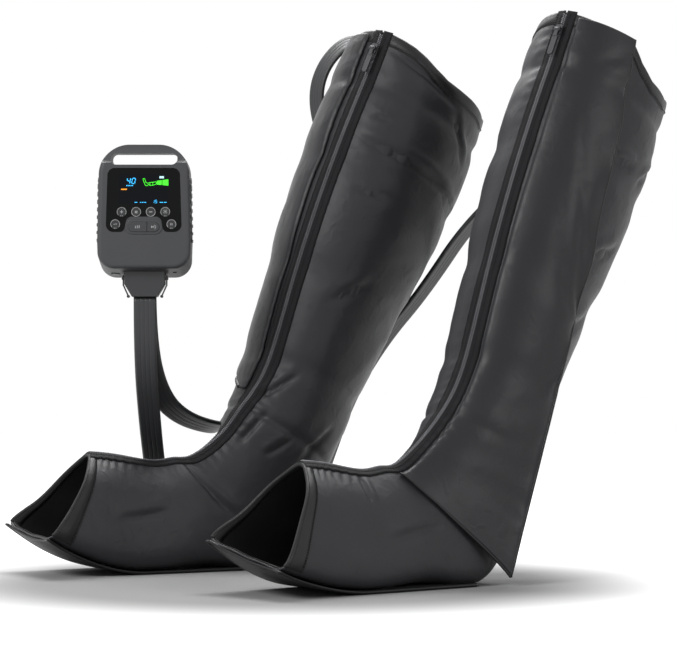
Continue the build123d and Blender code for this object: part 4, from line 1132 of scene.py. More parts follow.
@dataclass
class Flap:
    """The loose panel sewn beside a zip, which lies round the leg or hangs from it.

    Attributes:
        sleeve: the sleeve it is sewn to.
        hand: +1 towards the near side, -1 towards the far side.
        edge: places along the sleeve and the free edge's angle there, from the top hem down.
        low_edge: places along the sleeve and angles of the lower edge, from the sewn edge on.
        tip: the hanging corner, in mm, or None.
        flat: width and length of the cut cloth, in metres; not used.
        area: its flat area, in square metres; not used.
        seed: number that varies the folds.
    """

    sleeve: Sleeve
    hand: int
    edge: tuple[tuple[float, float], ...]
    low_edge: tuple[tuple[float, float], ...]
    tip: tuple[float, float, float] | None
    flat: tuple[float, float]
    area: float
    seed: int
    sewn_angle: float = 13.0
    rows: int = 150
    columns: int = 80
    cloth_t: float = 1.8
    gap: float = 3.0
    rounds: int = 14
    gathers: int = 14

    def lying(self, t: Array, share: Array) -> Array:
        """Return the part that lies on the leg.

        Args:
            t: places along the sleeve, one for each row.
            share: places across, from the sewn edge to the free edge.

        Returns:
            The points, in metres.
        """
        known = np.array(self.edge)[::-1]
        free = np.interp(t, known[:, 0], known[:, 1]) * self.hand
        angle = self.hand * self.sewn_angle * (1 - share)[None, :] + free[:, None] * share[None, :]
        lift = 1.4 + self.gap * smooth(share, 0.0, 0.3)
        return self.sleeve.surface.place(t[:, None] + 0 * angle, angle, lift[None, :] + 0 * angle)

    def hanging(self, share: Array) -> Array:
        """Return the part below the free edge's last place, which leaves the leg for the hanging corner."""
        surface = self.sleeve.surface
        break_t, break_angle = self.edge[-1]
        down = np.linspace(0, 1, self.rows // 2)[1:, None]
        spots = np.linspace(0, 1, len(self.low_edge))
        low_t, low_angle = (np.interp(share, spots, [spot[k] for spot in self.low_edge]) for k in (0, 1))
        high_angle = self.sewn_angle + (break_angle - self.sewn_angle) * share
        t = break_t + (low_t[None, :] - break_t) * down
        angle = high_angle[None, :] + (low_angle - high_angle)[None, :] * down
        laid = surface.place(t, angle * self.hand, 1.4 + self.gap * smooth(share, 0.0, 0.3)[None, :] + 0 * t)
        start = laid[0, -1]
        free = start + (np.array(self.tip) * MM - start) * down
        pull = (share ** 3)[None, :, None] * np.ones((len(down), 1, 1))
        return laid * (1 - pull) + free[:, None] * pull

    def relax(self, net: Array) -> Array:
        """Smooth a net and keep it off the leg."""
        skin = self.sleeve.surface
        cells = grid_faces(skin.ROWS, skin.COLUMNS)
        tree = BVHTree.FromPolygons(skin.net.reshape(-1, 3).tolist(), cells)
        clear = (self.gap + 1.0) * MM
        fixed = smooth(np.linspace(0, 1, self.columns), 0.0, 0.12)[None, :, None]
        for _ in range(self.rounds):
            calm = net.copy()
            calm[1:-1, 1:-1] = (net[:-2, 1:-1] + net[2:, 1:-1] + net[1:-1, :-2] + net[1:-1, 2:]) / 4
            calm[1:-1, -1] = (net[:-2, -1] + net[2:, -1]) / 2
            calm[-1, 1:-1] = (net[-1, :-2] + net[-1, 2:]) / 2
            net = net + (calm - net) * fixed * 0.8
            flat = net.reshape(-1, 3)
            for number, point in enumerate(flat):
                spot, normal, _, distance = tree.find_nearest(point, 0.08)
                if spot is None:
                    continue
                height = (Vector(point) - spot).dot(normal)
                if height < clear and distance < 0.06:
                    share = fixed[0, number % self.columns, 0]
                    flat[number] = point + np.array(normal) * (clear - height) * share
            net = flat.reshape(net.shape)
        return net

    def folds(self, net: Array) -> Array:
        """Lift gathers that run in from the free edge."""
        chance = np.random.default_rng(self.seed)
        rows, columns = net.shape[:2]
        out = unit(np.cross(np.gradient(net, axis=1), np.gradient(net, axis=0)) * self.hand)
        s, c = np.linspace(0, 1, rows)[:, None], np.linspace(0, 1, columns)[None, :]
        total = np.zeros((rows, columns))
        for _ in range(self.gathers):
            place, lean, wide = chance.uniform(0, 1), chance.normal(0, 0.16), chance.uniform(0.012, 0.035)
            reach, high = chance.uniform(0.3, 0.9), chance.uniform(1.2, 4.2)
            x = (s - place - lean * (1 - c)) / wide
            total += high * np.exp(-x ** 2) * smooth(c, 1 - reach, 1.0)
            total -= 0.5 * high * np.exp(-((x - 2) / 1.3) ** 2) * smooth(c, 1 - reach, 1.0)
        return net + out * (np.maximum(total, -1.2) * MM)[..., None]

    def build(self) -> None:
        """Make the flap, its hems and its stitching."""
        share = np.linspace(0, 1, self.columns)
        top_t, low_t = self.edge[0][0], self.edge[-1][0]
        count = self.rows - (self.rows // 2 - 1 if self.tip else 0)
        net = self.lying(np.linspace(top_t, low_t, count), share)
        if self.tip:
            net = np.concatenate([net, self.hanging(share)])
        net = self.folds(self.relax(net))
        along = np.linalg.norm(np.diff(net, axis=0), axis=2).mean(axis=1)
        across = np.linalg.norm(np.diff(net, axis=1), axis=2)
        v = np.concatenate([[0], np.cumsum(along)])[:, None] + np.zeros((1, self.columns))
        u = np.concatenate([np.zeros((len(net), 1)), np.cumsum(across, axis=1)], axis=1)
        out = unit(np.cross(np.gradient(net, axis=1), np.gradient(net, axis=0)) * self.hand)
        name = self.sleeve.name("side_flap")
        panel = closed_sheet(name, net, net - out * self.cloth_t * MM, np.stack([u, v], axis=2))
        self.sleeve.keep(panel, FLAP_CLOTH, "cover_fabric")
        corner = net[:-1, :-1]
        cut = np.linalg.norm(np.cross(net[1:, :-1] - corner, net[:-1, 1:] - corner), axis=2).sum()
        log.info("flap %s: area %.4f, length %.3f, width %.3f", name, cut, v.max(), u.max())
        rolls = [self.hem_roll(f"{name}_free_hem", net[:, -1], out[:, -1])]
        if self.tip:
            rolls.append(self.hem_roll(f"{name}_low_hem", net[-1], out[-1]))
        for number, column in enumerate((4, self.columns - 6)):
            rolls.append(self.seam(f"{name}_seam_{number + 1}", net[:, column], out[:, column]))
        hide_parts(self.sleeve.name("flap"))
        self.sleeve.name("cover")

    def hem_roll(self, name: str, line: Array, out: Array) -> bpy.types.Object:
        """Fold a narrow hem along an edge."""
        run = unit(np.gradient(line, axis=0))
        side = np.cross(run, out)
        turns = np.linspace(0, 2 * pi, 12, endpoint=False)
        over, up = (1.9 * np.cos(turns))[None, :, None], (1.6 * np.sin(turns))[None, :, None]
        rings = line[:, None] - out[:, None] * (0.9 * MM) + MM * (side[:, None] * over + out[:, None] * up)
        uvs = net_uvs(turns[None, :] * 1.7 * MM, np.arange(len(line))[:, None] * UV_STEP)
        return self.sleeve.keep(rod(name, rings, uvs), BINDING, "cover_fabric")

    def seam(self, name: str, line: Array, out: Array) -> bpy.types.Object:
        """Sew a row of stitches along a line over the flap."""
        row = stitch_row(name, line, out, 0.4)
        return self.sleeve.keep(row, THREAD, "cover_fabric")


# -------------------------------------------------------------------------- hoses
@dataclass
class FlatHose:
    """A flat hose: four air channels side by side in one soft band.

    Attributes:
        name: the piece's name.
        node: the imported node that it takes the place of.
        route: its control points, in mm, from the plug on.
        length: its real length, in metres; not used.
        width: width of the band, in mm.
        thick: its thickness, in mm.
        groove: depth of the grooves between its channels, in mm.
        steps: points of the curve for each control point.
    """

    name: str
    node: str
    route: tuple[tuple[float, float, float], ...]
    length: float
    width: float = 34.0
    thick: float = 7.5
    groove: float = 0.5
    steps: int = 22

    def centre(self) -> Array:
        """Read the points of the route's smooth curve, in metres."""
        curve = bpy.data.curves.new(f"{self.name}_line", "CURVE")
        curve.dimensions = "3D"
        spline = curve.splines.new("NURBS")
        spline.points.add(len(self.route) - 1)
        for point, place in zip(spline.points, self.route):
            point.co = (*[value * MM for value in place], 1.0)
        spline.order_u = 3
        spline.use_endpoint_u = True
        curve.resolution_u = self.steps
        holder = bpy.data.objects.new(curve.name, curve)
        bpy.context.scene.collection.objects.link(holder)
        bpy.context.view_layer.update()
        read = bpy.data.meshes.new_from_object(holder)
        points = np.array([vertex.co[:] for vertex in read.vertices])
        bpy.data.objects.remove(holder)
        bpy.data.curves.remove(curve)
        bpy.data.meshes.remove(read)
        return points

    def outline(self) -> Array:
        """Return the band's cross-section: rounded edges and shallow grooves between its channels."""
        half, rise = self.width / 2, self.thick / 2
        x = np.linspace(-1, 1, 33)
        across = x * (half - rise)
        away = (np.abs(x)[:, None] - np.array([0.0, 0.5])[None, :]) / 0.045
        dip = self.groove * np.exp(-away ** 2).max(axis=1)
        top = np.stack([across, rise - dip], axis=1)
        turns = np.linspace(pi / 2, -pi / 2, 9)[1:-1]
        right = np.stack([half - rise + rise * np.cos(turns), rise * np.sin(turns)], axis=1)
        return np.concatenate([top, right, top[::-1] * (1, -1), right[::-1] * (-1, 1)])

    def build(self) -> None:
        """Extrude the band along its line, without twisting it."""
        line = self.centre()
        run = unit(np.gradient(line, axis=0))
        side = np.array([1.0, 0.0, 0.0])
        sides = []
        for direction in run:
            side = side - direction * (side @ direction)
            side /= np.linalg.norm(side)
            sides.append(side)
        across = np.array(sides)
        up = np.cross(run, across)
        shape = self.outline() * MM
        rings = line[:, None] + across[:, None] * shape[None, :, :1] + up[:, None] * shape[None, :, 1:]
        length = run_length(line)
        piece = rod(self.name, rings, net_uvs(run_length(shape)[None, :], length[:, None]))
        dress(piece, HOSE_SKIN, "sleeve_set")
        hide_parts(self.node)
        log.info("hose %s: smooth length %.3f", self.name, length[-1])


@dataclass
class Keeper:
    """A sewn fabric loop that holds the rear hose beside the left leg.

    Attributes:
        middle: its middle on the hose, in mm.
        run: the hose's direction there.
        inward: direction to the leg.
        long: length along the hose, in mm.
        reach: length of the tab that is sewn to the leg, in mm.
        cloth_t: thickness of its cloth, in mm.
        loop: radius of the loop's middle surface, in mm.
    """

    middle: tuple[float, float, float] = (-22.5, 388.5, 620.0)
    run: tuple[float, float, float] = (-0.008, -0.058, 0.998)
    inward: tuple[float, float, float] = (-0.62, -0.78, -0.05)
    long: float = 20.0
    reach: float = 24.0
    cloth_t: float = 1.4
    loop: float = 18.2

    def build(self) -> None:
        """Fold the loop round the hose and lay its tab to the leg."""
        run = np.array(self.run) / np.linalg.norm(self.run)
        inward = np.array(self.inward) - run * (np.array(self.inward) @ run)
        inward /= np.linalg.norm(inward)
        side = np.cross(run, inward)
        turns = np.radians(np.linspace(8, 352, 61))
        loop = self.loop * np.stack([np.cos(turns), 0.98 * np.sin(turns)], axis=1)
        tab = np.array([[18.0 + self.reach * 0.8, 0.9], [18.0 + self.reach * 0.4, 0.9], [19.5, 1.2]])
        path = np.concatenate([tab, loop, tab[::-1] * (1, -1)])
        ahead = unit(np.gradient(path, axis=0))
        normal = np.stack([ahead[:, 1], -ahead[:, 0]], axis=1)
        levels = np.linspace(-self.long / 2, self.long / 2, 13)

        def lay(offset: float) -> Array:
            """Return the strip's net at an offset from its middle surface."""
            flat = path + normal * offset
            return (np.array(self.middle) + flat[:, None, :1] * inward + flat[:, None, 1:] * side
                    + levels[None, :, None] * run) * MM

        half = self.cloth_t / 2
        length = run_length(path) * MM
        uvs = net_uvs(levels[None, :] * MM, length[:, None])
        strip = closed_sheet("keeper_loop", lay(half), lay(-half), uvs)
        dress(strip, FLAP_CLOTH, "sleeve_set")
        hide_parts("hose_keeper")


HOSES = (
    FlatHose("flat_hose_rear", "hose_rear", (
        (-292, 32, 416), (-291, 35, 340), (-274, 82, 265), (-242, 147, 229), (-189, 223, 211), (-179, 288, 218),
        (-143, 319, 290), (-80, 338, 417), (-22, 392, 560), (-23, 385, 680), (-40, 378, 752), (-23, 377, 809),
        (21, 376, 850), (69, 371, 823), (64, 370.4, 779.2), (48, 366.6, 746.1),
    ), 1.22),
    FlatHose("flat_hose_front", "hose_front", (
        (-292, 22, 416), (-292, 23, 326), (-289, 89, 222), (-285, 190, 125), (-269, 280, 58), (-252, 378, 14),
        (-164, 413, 10), (-92, 410, 14), (-52, 392, 62), (-22, 366, 150), (18, 352, 262), (72, 340, 352),
        (136, 304, 428), (215, 206, 549), (332, 145, 642), (327, 179, 726), (370, 214, 787), (401, 162, 801),
        (383.2, 128.8, 754.2), (368.1, 121.9, 714.7),
    ), 1.85),
)


# --------------------------------------------------------------------------- pump
def plate(name: str, outline: Array, middle: tuple[float, float, float], deep: float) -> bpy.types.Object:
    """Make a thin printed mark that faces the viewer of the display.

    Args:
        name: the piece's name.
        outline: its corners, mm to the right and mm up, in order.
        middle: the point that the corners count from, in mm.
        deep: its thickness, in mm.

    Returns:
        The closed mark, its face at the middle's Y.
    """
    corners = np.asarray(outline, float)
    x0, y0, z0 = middle
    front = [((x0 + x) * MM, y0 * MM, (z0 + z) * MM) for x, z in corners]
    back = [(x, y + deep * MM, z) for x, y, z in front]
    count = len(front)
    faces = [tuple(range(count)), tuple(range(2 * count - 1, count - 1, -1))]
    faces += [(i, (i + 1) % count, (i + 1) % count + count, i + count) for i in range(count)]
    piece = mesh_piece(name, np.array(front + back), faces)
    piece.data.polygons.foreach_set("use_smooth", [False] * len(piece.data.polygons))
    turn_outwards(piece)
    return piece


def merge(name: str, pieces: list[bpy.types.Object]) -> bpy.types.Object:
    """Join separate marks into one piece."""
    bpy.ops.object.select_all(action="DESELECT")
    for piece in pieces:
        piece.select_set(True)
    bpy.context.view_layer.objects.active = pieces[0]
    bpy.ops.object.join()
    pieces[0].name = name
    pieces[0].data.name = name
    return pieces[0]


def bar(x: float, z: float, wide: float, high: float, slant: float = 0.0) -> Array:
    """Return the corners of a bar about its middle, leaning by `slant` mm."""
    w, h = wide / 2, high / 2
    return np.array([(x - w - slant / 2, z - h), (x + w - slant / 2, z - h), (x + w + slant / 2, z + h),
                     (x - w + slant / 2, z + h)])


def arc(x: float, z: float, radius: float, wide: float, start: float, stop: float, count: int = 40) -> Array:
    """Return the corners of a flat arc between two angles in degrees."""
    turns = np.radians(np.linspace(start, stop, count))
    rim = np.stack([np.cos(turns), np.sin(turns)], axis=1)
    return np.concatenate([rim * (radius + wide / 2), rim[::-1] * (radius - wide / 2)]) + (x, z)


class Segment(Enum):
    """The seven bars of a digit: middle across and up, as shares of its size, and whether it lies flat."""

    TOP = (0.0, 1.0, True)
    MIDDLE = (0.0, 0.0, True)
    LOW = (0.0, -1.0, True)
    UP_LEFT = (-1.0, 0.5, False)
    UP_RIGHT = (1.0, 0.5, False)
    DOWN_LEFT = (-1.0, -0.5, False)
    DOWN_RIGHT = (1.0, -0.5, False)


DIGITS = {
    "4": (Segment.UP_LEFT, Segment.MIDDLE, Segment.UP_RIGHT, Segment.DOWN_RIGHT),
    "0": tuple(segment for segment in Segment if segment is not Segment.MIDDLE),
    "1": (Segment.UP_RIGHT, Segment.DOWN_RIGHT),
    "5": (Segment.TOP, Segment.UP_LEFT, Segment.MIDDLE, Segment.DOWN_RIGHT, Segment.LOW),
}


@dataclass
class Display:
    """What the lit display shows: pressure, time, a leg in segments and a battery bar.

    Attributes:
        middle_x: X of the screen's middle, in mm.
        face_y: Y just in front of the glass.
        middle_z: Z of the screen's middle.
    """

    middle_x: float = -292.0
    face_y: float = -4.06
    middle_z: float = 577.5
    ink_t: float = 0.05

    def show(self, name: str, outlines: list[Array], finish: Finish) -> None:
        """Light up some shapes as one piece.

        Args:
            name: the piece's name.
            outlines: the shapes' corners from the screen's middle, in mm.
            finish: the light's colour.
        """
        middle = (self.middle_x, self.face_y, self.middle_z)
        parts = [plate(f"{name}_{i}", shape, middle, self.ink_t) for i, shape in enumerate(outlines)]
        dress(merge(name, parts), finish, "pump_case")

    def digits(self, text: str, x: float, z: float, wide: float, high: float, line: float) -> list[Array]:
        """Return the bars of some digits from the middle of the first."""
        shapes = []
        for place, digit in enumerate(text):
            for segment in DIGITS[digit]:
                across, up, flat = segment.value
                lean = up * high * 0.09
                centre = x + place * wide * 1.6 + across * wide / 2 + lean
                if flat:
                    shapes.append(bar(centre, z + up * high / 2, wide - line * 1.3, line))
                else:
                    shapes.append(bar(centre, z + up * high / 2, line, high / 2 - line * 0.7, high * 0.045))
        return shapes

    def build(self) -> None:
        """Draw everything that is lit."""
        self.show("display_pressure", self.digits("40", -22.5, 12.0, 4.6, 8.2, 1.25), DIGIT)
        self.show("display_time", self.digits("15", 14.5, -19.0, 2.6, 4.4, 0.7), DIGIT)
        marks = [bar(-25.5 + i * 2.2, 5.0, 1.4, 1.5) for i in range(5)]
        low = ((-11.5, 4.0), (-4.6, 1.8), (-1.6, 2.6), (2.2, 3.2), (26.6, 5.2), (32.4, 4.2))
        marks += [bar(x, -20.2, wide, 1.0) for x, wide in low]
        self.show("display_units", marks, DIGIT)
        self.show("display_battery", [bar(27.0, 17.4, 6.6, 3.2)], PALE)
        self.show("display_level", [bar(-29.5, -0.6, 8.6, 1.7, 0.4)], DASH)
        thigh = [np.array([(20.0, 6.4), (27.0, 6.0), (27.0, 13.0), (20.0, 12.2)]),
                 np.array([(28.2, 5.8), (37.0, 4.8), (37.0, 14.4), (28.2, 13.2)])]
        self.show("display_leg_lit", thigh, LEG_GREEN)
        rim = np.array([
            (-1.0, 15.0), (0.6, 15.6), (1.8, 14.6), (3.6, 9.4), (6.4, 8.4), (9.0, 9.6), (12.4, 9.8), (19.2, 10.6),
            (19.2, 7.4), (13.4, 5.4), (9.6, 5.4), (7.2, 6.6), (5.0, 4.6), (2.4, 5.4), (-0.4, 12.4)])
        lines = []
        for a, b in zip(rim, np.roll(rim, -1, axis=0)):
            run = (b - a) / np.linalg.norm(b - a)
            side = np.array([-run[1], run[0]]) * 0.42
            lines.append(np.array([a - side, b - side, b + side, a + side]))
        lines += [bar(9.4, 7.4, 0.8, 4.0), bar(13.6, 7.6, 0.8, 4.4)]
        self.show("display_leg_outline", lines, LEG_GREEN)


@dataclass
class Pump:
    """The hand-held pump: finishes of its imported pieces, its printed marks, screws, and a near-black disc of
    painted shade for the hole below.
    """

    middle_x: float = -292.0
    low_z: float = 459.0
    face_y: float = -4.0
    key_face: float = -4.6
    pill_face: float = -6.2
    back_y: float = 58.0
    key_radius: float = 6.7
    keys: tuple[tuple[float, float], ...] = (
        (-33, 84), (-11.2, 84), (10.6, 84), (32.4, 84), (-42.6, 65.5), (41.6, 65.5))
    pill_z: float = 61.5
    screws: tuple[tuple[float, float], ...] = ((-54, 20), (54, 20), (-54, 146), (54, 146))
    hole: tuple[float, float, float] = (-247.0, 20.9, 452.7)

    def paint(self) -> None:
        """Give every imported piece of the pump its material."""
        plan = {
            HOUSING: ("front_housing", "rear_housing"), GRIP: ("grip_left", "grip_right"),
            PANEL: ("display_panel",), SCREEN: ("screen",), KEY_CAP: tuple(f"key_{i}" for i in range(1, 7)),
            PILL_CAP: ("pill_key_left", "pill_key_right"), BOARD: ("main_board",), CELL_WRAP: ("battery_pack",),
            CAST_METAL: ("air_pump",), VALVE_BODY: ("valve_manifold",),
            STEEL: ("pump_crank", *[f"valve_plunger_{i}" for i in range(1, 5)]),
            CONNECTOR: ("hose_plug", "hose_socket", "dc_jack", "power_button", "latch_left", "latch_right",
                        "inlet_left", "inlet_right"),
        }
        for finish, names in plan.items():
            for name in names:
                paint_node(name, finish)

    def print_on(self, name: str, outlines: list[Array], x: float, z: float, face: float, body: str) -> None:
        """Print some shapes on a face.

        Args:
            name: the piece's name.
            outlines: the shapes' corners from their middle, in mm.
            x: the middle's distance right of the case's middle.
            z: its height over the case's lower front edge.
            face: Y of the printed face.
            body: the body that the mark moves with.
        """
        middle = (self.middle_x + x, face - 0.04, self.low_z + z)
        parts = [plate(f"{name}_{i}", shape, middle, 0.05) for i, shape in enumerate(outlines)]
        dress(merge(name, parts), LEGEND, body)

    def legends(self) -> None:
        """Print each key's ring and sign, and the two signs of the divided key."""
        cross = [bar(0, 0, 4.6, 0.9), bar(0, 0, 0.9, 4.6)]
        minus = [bar(0, 0, 4.8, 1.1)]
        bars = [bar(0, 1.1, 4.4, 0.7), bar(0, -0.2, 3.2, 0.7), bar(0, -1.5, 4.4, 0.7)]
        pause = [bar(-1.0, 0, 0.8, 3.4), bar(1.0, 0, 0.8, 3.4)]
        dial = [bar(0, 0.4, 0.7, 3.6), bar(0, 0.4, 3.6, 0.7), *[arc(0, 0.4, 2.7, 0.5, a, a + 50, 8)
                                                               for a in (20, 110, 200, 290)]]
        wave = [bar(-1.6, 0, 2.2, 0.7, 0.4), bar(1.4, 0.3, 2.4, 0.7, -0.3)]
        full, broken = (0.0, 360.0), (-38.0, 218.0)
        rings = (broken, full, full, broken, broken, broken)
        signs = (cross, bars, minus, dial, wave, pause)
        for number, ((x, z), ring, sign) in enumerate(zip(self.keys, rings, signs), start=1):
            shapes = [arc(0, 0, self.key_radius, 0.55, *ring, 56), *sign]
            if ring is broken:
                shapes += [bar(-1.2, -5.9, 1.5, 0.6), bar(1.2, -5.9, 1.5, 0.6)]
            self.print_on(f"key_{number}_legend", shapes, x, z, self.key_face, f"key_{number}")
        steps = [bar(-4.2 + i * 2.8, 0.3 * (i - 1), 0.8, 4.2 + 0.5 * (i - 1), 0.2) for i in range(3)]
        self.print_on("pill_left_legend", steps, -8.0, self.pill_z, self.pill_face, "pill_key_left")
        arrow = [np.array([(-2.4, -1.6), (0.4, 0.0), (-2.4, 1.6)]), bar(1.4, 0, 0.8, 3.2),
                 arc(0.6, 0, 3.6, 0.5, -60, 60, 14)]
        self.print_on("pill_right_legend", arrow, 14.0, self.pill_z, self.pill_face, "pill_key_right")

    def ring_at(self, name: str, middle: tuple[float, float, float], radii: tuple[float, ...],
                depths: tuple[float, ...], turn: tuple[float, float, float], finish: Finish) -> None:
        """Turn a round fitting from a profile.

        Args:
            name: the piece's name.
            middle: the middle of its outer face, in mm.
            radii: the profile's radii from the middle outwards, in mm.
            depths: how far each of them lies above the face, in mm.
            turn: the fitting's rotation, in degrees.
            finish: its finish.
        """
        bpy.ops.object.select_all(action="DESELECT")
        bpy.ops.mesh.primitive_circle_add(vertices=40, radius=radii[0] * MM, fill_type="NGON")
        piece = bpy.context.object
        piece.name = name
        bpy.ops.object.mode_set(mode="EDIT")
        bpy.ops.mesh.select_all(action="SELECT")
        for last, radius, low, high in zip(radii, radii[1:], depths, depths[1:]):
            bpy.ops.mesh.extrude_region_move(TRANSFORM_OT_translate={"value": (0, 0, (high - low) * MM)})
            bpy.ops.transform.resize(value=(radius / last,) * 2 + (1,), center_override=(0, 0, high * MM))
        bpy.ops.mesh.select_all(action="SELECT")
        bpy.ops.mesh.normals_make_consistent(inside=False)
        bpy.ops.object.mode_set(mode="OBJECT")
        piece.rotation_euler = [radians(value) for value in turn]
        piece.location = [value * MM for value in middle]
        settle(piece)
        bpy.ops.object.shade_smooth_by_angle(angle=radians(35))
        dress(piece, finish, "pump_case")

    def fittings(self) -> None:
        """Add the screws in the back, their wells, and a near-black disc of painted shade in place of the hole in
        the sloping underside.
        """
        # painted shade: a shallow near-black disc where the underside's hole is, not a real opening
        self.ring_at("underside_hole_shade", self.hole, (3.1, 3.4), (0.3, -0.3), (166.5, 0, 0), HOLE_SHADE_PAINT)
        for number, (x, z) in enumerate(self.screws, start=1):
            spot = (self.middle_x + x, self.back_y + 0.02, self.low_z + z)
            self.ring_at(f"screw_well_{number}", spot, (4.4, 4.4, 4.0, 3.4), (0.0, 0.3, 0.5, 0.1), (-90, 0, 0),
                         CONNECTOR)
            self.ring_at(f"screw_head_{number}", spot, (2.9, 2.9, 2.5, 1.3, 1.2), (0.0, 0.5, 0.7, 0.7, 0.3),
                         (-90, 0, 0), STEEL)

    def build(self) -> None:
        """Dress the whole pump."""
        self.paint()
        Display().build()
        self.legends()
        self.fittings()


# -------------------------------------------------------------------------- studio
@dataclass(frozen=True)
class SoftBox:
    """One soft lamp: where it hangs, what it looks at, its size in metres and its power in watts."""

    name: str
    place: tuple[float, float, float]
    target: tuple[float, float, float]
    size: tuple[float, float]
    power: float

    def hang(self) -> None:
        """Hang the lamp."""
        lamp = bpy.data.lights.new(self.name, "AREA")
        lamp.shape = "RECTANGLE"
        lamp.size, lamp.size_y = self.size
        lamp.energy = self.power
        holder = bpy.data.objects.new(self.name, lamp)
        holder.location = self.place
        aim = Vector(self.target) - Vector(self.place)
        holder.rotation_euler = aim.to_track_quat("-Z", "Y").to_euler()
        bpy.context.scene.collection.objects.link(holder)


@dataclass(frozen=True)
class Studio:
    """The white floor, the pale surround, the lamps and the camera.

    Attributes:
        eye: the camera's place, in metres.
        tilt: its turn about X, in degrees.
        lens: its focal length, in mm.
        ambient: strength of the surround as a light.
        floor_glow: light that the floor gives off near the object, for the camera alone; it rises to one further
            off, so the floor round the object stays darker as a painted shadow.
        painted_shadow_middle: middle of the painted shadow, a darker patch of floor, in metres.
        painted_shadow_reach: radii between which the painted shadow fades and the floor turns white.
    """

    eye: tuple[float, float, float] = (0.0, -4.010, 0.3288)
    tilt: float = 90.5
    lens: float = 142.21
    sensor: float = 36.0
    floor_size: float = 14.0
    floor_colour: str = "969696"
    # painted shadow: the floor glows for the camera alone, least round the object, so a darker patch is painted
    # there
    floor_glow: float = 0.0
    painted_shadow_middle: tuple[float, float, float] = (-0.08, -0.12, 0.0)
    painted_shadow_reach: tuple[float, float] = (0.34, 0.66)
    ambient: float = 0.32
    lamps: tuple[SoftBox, ...] = (
        SoftBox("key_lamp", (-2.4, -2.4, 2.6), (0.0, 0.0, 0.45), (1.6, 1.3), 95.0),
        SoftBox("fill_lamp", (2.6, -2.4, 1.5), (0.0, 0.0, 0.45), (1.4, 1.8), 26.0),
        SoftBox("top_lamp", (0.1, 1.3, 2.5), (0.0, 0.0, 0.2), (2.6, 1.5), 120.0),
    )

    def camera(self) -> None:
        """Set the camera."""
        data = bpy.data.cameras.new("camera")
        data.lens, data.sensor_width, data.sensor_fit = self.lens, self.sensor, "HORIZONTAL"
        data.clip_end = 100
        holder = bpy.data.objects.new("camera", data)
        holder.location = self.eye
        holder.rotation_euler = (radians(self.tilt), 0, 0)
        bpy.context.scene.collection.objects.link(holder)
        bpy.context.scene.camera = holder

    def seen(self, tree: bpy.types.NodeTree) -> bpy.types.NodeSocket:
        """Return one for camera, mirror and glass rays, nothing for the rest."""
        path = add_node(tree, "ShaderNodeLightPath")
        first = add_node(tree, "ShaderNodeMath", {"operation": "MAXIMUM"}, {
            0: path.outputs["Is Camera Ray"], 1: path.outputs["Is Glossy Ray"]})
        both = add_node(tree, "ShaderNodeMath", {"operation": "MAXIMUM"}, {
            0: first.outputs["Value"], 1: path.outputs["Is Transmission Ray"]})
        return both.outputs["Value"]

    def surround(self) -> None:
        """Make the surround white to look at and a soft light on the object."""
        world = bpy.data.worlds.new("studio")
        world.use_nodes = True
        tree = world.node_tree
        tree.nodes.clear()
        level = add_node(tree, "ShaderNodeMapRange", inputs={
            "Value": self.seen(tree), "To Min": self.ambient, "To Max": 1.0,
        })
        light = add_node(tree, "ShaderNodeBackground", inputs={
            "Color": (1, 1, 1, 1), "Strength": level.outputs["Result"],
        })
        add_node(tree, "ShaderNodeOutputWorld", inputs={"Surface": light.outputs["Background"]})
        bpy.context.scene.world = world

    def floor(self) -> None:
        """Lay the floor, which keeps the object's shadow: its camera-only glow makes it white far off and fades
        out round the object, where the grey floor is left darker as a painted shadow.
        """
        bpy.ops.object.select_all(action="DESELECT")
        bpy.ops.mesh.primitive_plane_add(size=self.floor_size, location=(0, 0, -0.0006))
        ground = bpy.context.object
        ground.name = "studio_floor"
        made = bpy.data.materials.new("white_paper_floor")
        made.use_nodes = True
        tree = made.node_tree
        tree.nodes.clear()
        paper = add_node(tree, "ShaderNodeBsdfDiffuse", inputs={"Color": linear(self.floor_colour)})
        place = add_node(tree, "ShaderNodeTexCoord").outputs["Object"]
        # painted shadow: the camera-only glow is least round the object, so the grey floor stays darker there than
        # its lighting alone makes it; further off the glow turns it white
        away = add_node(tree, "ShaderNodeVectorMath", {"operation": "DISTANCE"}, {
            0: place, 1: self.painted_shadow_middle})
        near, far = self.painted_shadow_reach
        fading = add_node(tree, "ShaderNodeMapRange", {"interpolation_type": "SMOOTHSTEP"}, {
            "Value": away.outputs["Value"], "From Min": near, "From Max": far, "To Min": self.floor_glow,
            "To Max": 1.0,
        })
        level = add_node(tree, "ShaderNodeMath", {"operation": "MULTIPLY"}, {
            0: self.seen(tree), 1: fading.outputs["Result"]})
        glow = add_node(tree, "ShaderNodeEmission", inputs={
            "Color": (1, 1, 1, 1), "Strength": level.outputs["Value"],
        })
        both = add_node(tree, "ShaderNodeAddShader", inputs={
            0: paper.outputs["BSDF"], 1: glow.outputs["Emission"]})
        add_node(tree, "ShaderNodeOutputMaterial", inputs={"Surface": both.outputs["Shader"]})
        ground.data.materials.append(made)

    def build(self) -> None:
        """Set up everything round the object."""
        bpy.context.scene.view_settings.view_transform = "Standard"
        self.camera()
        self.surround()
        self.floor()
        for lamp in self.lamps:
            lamp.hang()


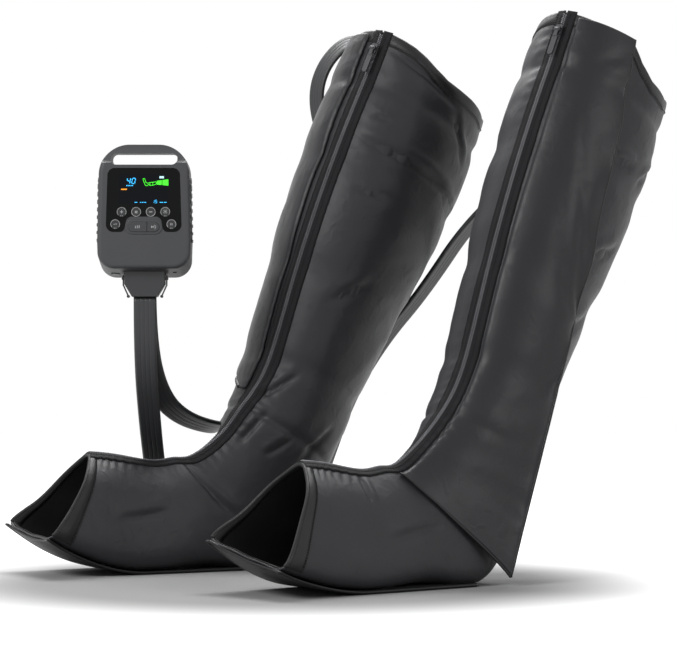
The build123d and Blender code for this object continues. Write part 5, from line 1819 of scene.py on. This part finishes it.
# ---------------------------------------------------------------------------- build
LEFT_HEM = (
    (-180, 11.0), (-120, 11.0), (-60, 11.2), (-20, 11.38), (0, 11.4), (10, 11.36), (20, 11.3), (30, 11.22),
    (40, 11.07), (50, 10.86), (60, 10.72), (100, 10.72), (115, 10.66), (140, 10.94), (180, 11.0),
)
RIGHT_HEM = (
    (-180, 11.0), (-90, 11.1), (-30, 11.34), (0, 11.4), (10, 11.34), (30, 11.25), (50, 11.18), (62, 11.12),
    (72, 10.72), (85, 10.46), (110, 10.44), (130, 10.66), (145, 10.92), (180, 11.0),
)
LEFT_CREASES = (
    Crease(9.24, 55, 165, 6.0, 7.5, -3),
    Crease(8.81, 38, 54, 3.4, 6.0, 0),
    Crease(10.5, 46, 120, 5.5, 5.0, -14),
    Crease(9.55, 24, 30, 3.0, 4.0, 4),
    Crease(9.79, 88, 76, 5.0, 5.0, -45),
    Crease(9.11, 108, 84, 5.0, 5.0, -12),
    Crease(8.02, 51, 80, 7.0, 4.0, 39),
    Crease(6.79, 21, 70, 5.0, 4.0, 58),
    Crease(6.08, 86, 68, 6.0, 5.0, 73),
    Crease(5.55, 26, 66, 5.0, 4.5, 84),
    Crease(5.54, 59, 47, 5.0, 4.0, 68),
    Crease(3.57, 53, 92, 6.5, 4.0, 18),
    Crease(1.52, 83, 87, 7.0, 3.0, 105),
)
RIGHT_CREASES = (
    Crease(9.3, 118, 60, 5.0, 6.0, 40),
    Crease(9.2, 76, 66, 5.5, 8.0, 7),
    Crease(8.5, 100, 60, 5.5, 6.0, 30),
    Crease(7.87, 100, 91, 6.0, 5.0, 32),
    Crease(1.74, 39, 40, 4.0, 4.0, -2),
    Crease(2.86, 85, 92, 6.0, 3.0, 93),
)
SLEEVES = (
    Sleeve(Side.LEFT, (-214.0, 126.0), 28, 30, 1.05, 30.0, 18.0, LEFT_HEM, LEFT_CREASES, 11),
    Sleeve(Side.RIGHT, (95.0, -192.0), 38, 15, 0.95, 30.0, 0.0, RIGHT_HEM, RIGHT_CREASES, 23),
)


LEFT_FREE_EDGE = ((11.25, 92), (7.6, 88), (7.0, 60), (6.5, 22))
LEFT_LOW_EDGE = ((6.5, 13), (6.5, 22))
RIGHT_FREE_EDGE = ((11.22, 60), (10.0, 61), (9.0, 70), (8.0, 90))
RIGHT_LOW_EDGE = ((3.6, 20), (3.7, 43), (3.9, 64), (4.1, 84), (4.3, 108))


def main() -> None:
    """Build the studio, the hoses, the sleeves and the pump, in that order."""
    Studio().build()
    for hose in HOSES:
        hose.build()
    Keeper().build()
    for sleeve in SLEEVES:
        sleeve.build()
        log.info("sleeve %s: %d pieces", sleeve.side.value, len(sleeve.pieces))
    left, right = SLEEVES
    Flap(left, hand=-1, edge=LEFT_FREE_EDGE, low_edge=LEFT_LOW_EDGE, tip=None, flat=(0.21, 0.6), area=0.112,
         seed=5).build()
    Flap(right, hand=1, edge=RIGHT_FREE_EDGE, low_edge=RIGHT_LOW_EDGE, tip=(245.0, -200.0, 12.0),
         flat=(0.17, 0.86), area=0.118, seed=7).build()
    Pump().build()


if __name__ == "__main__":
    main()
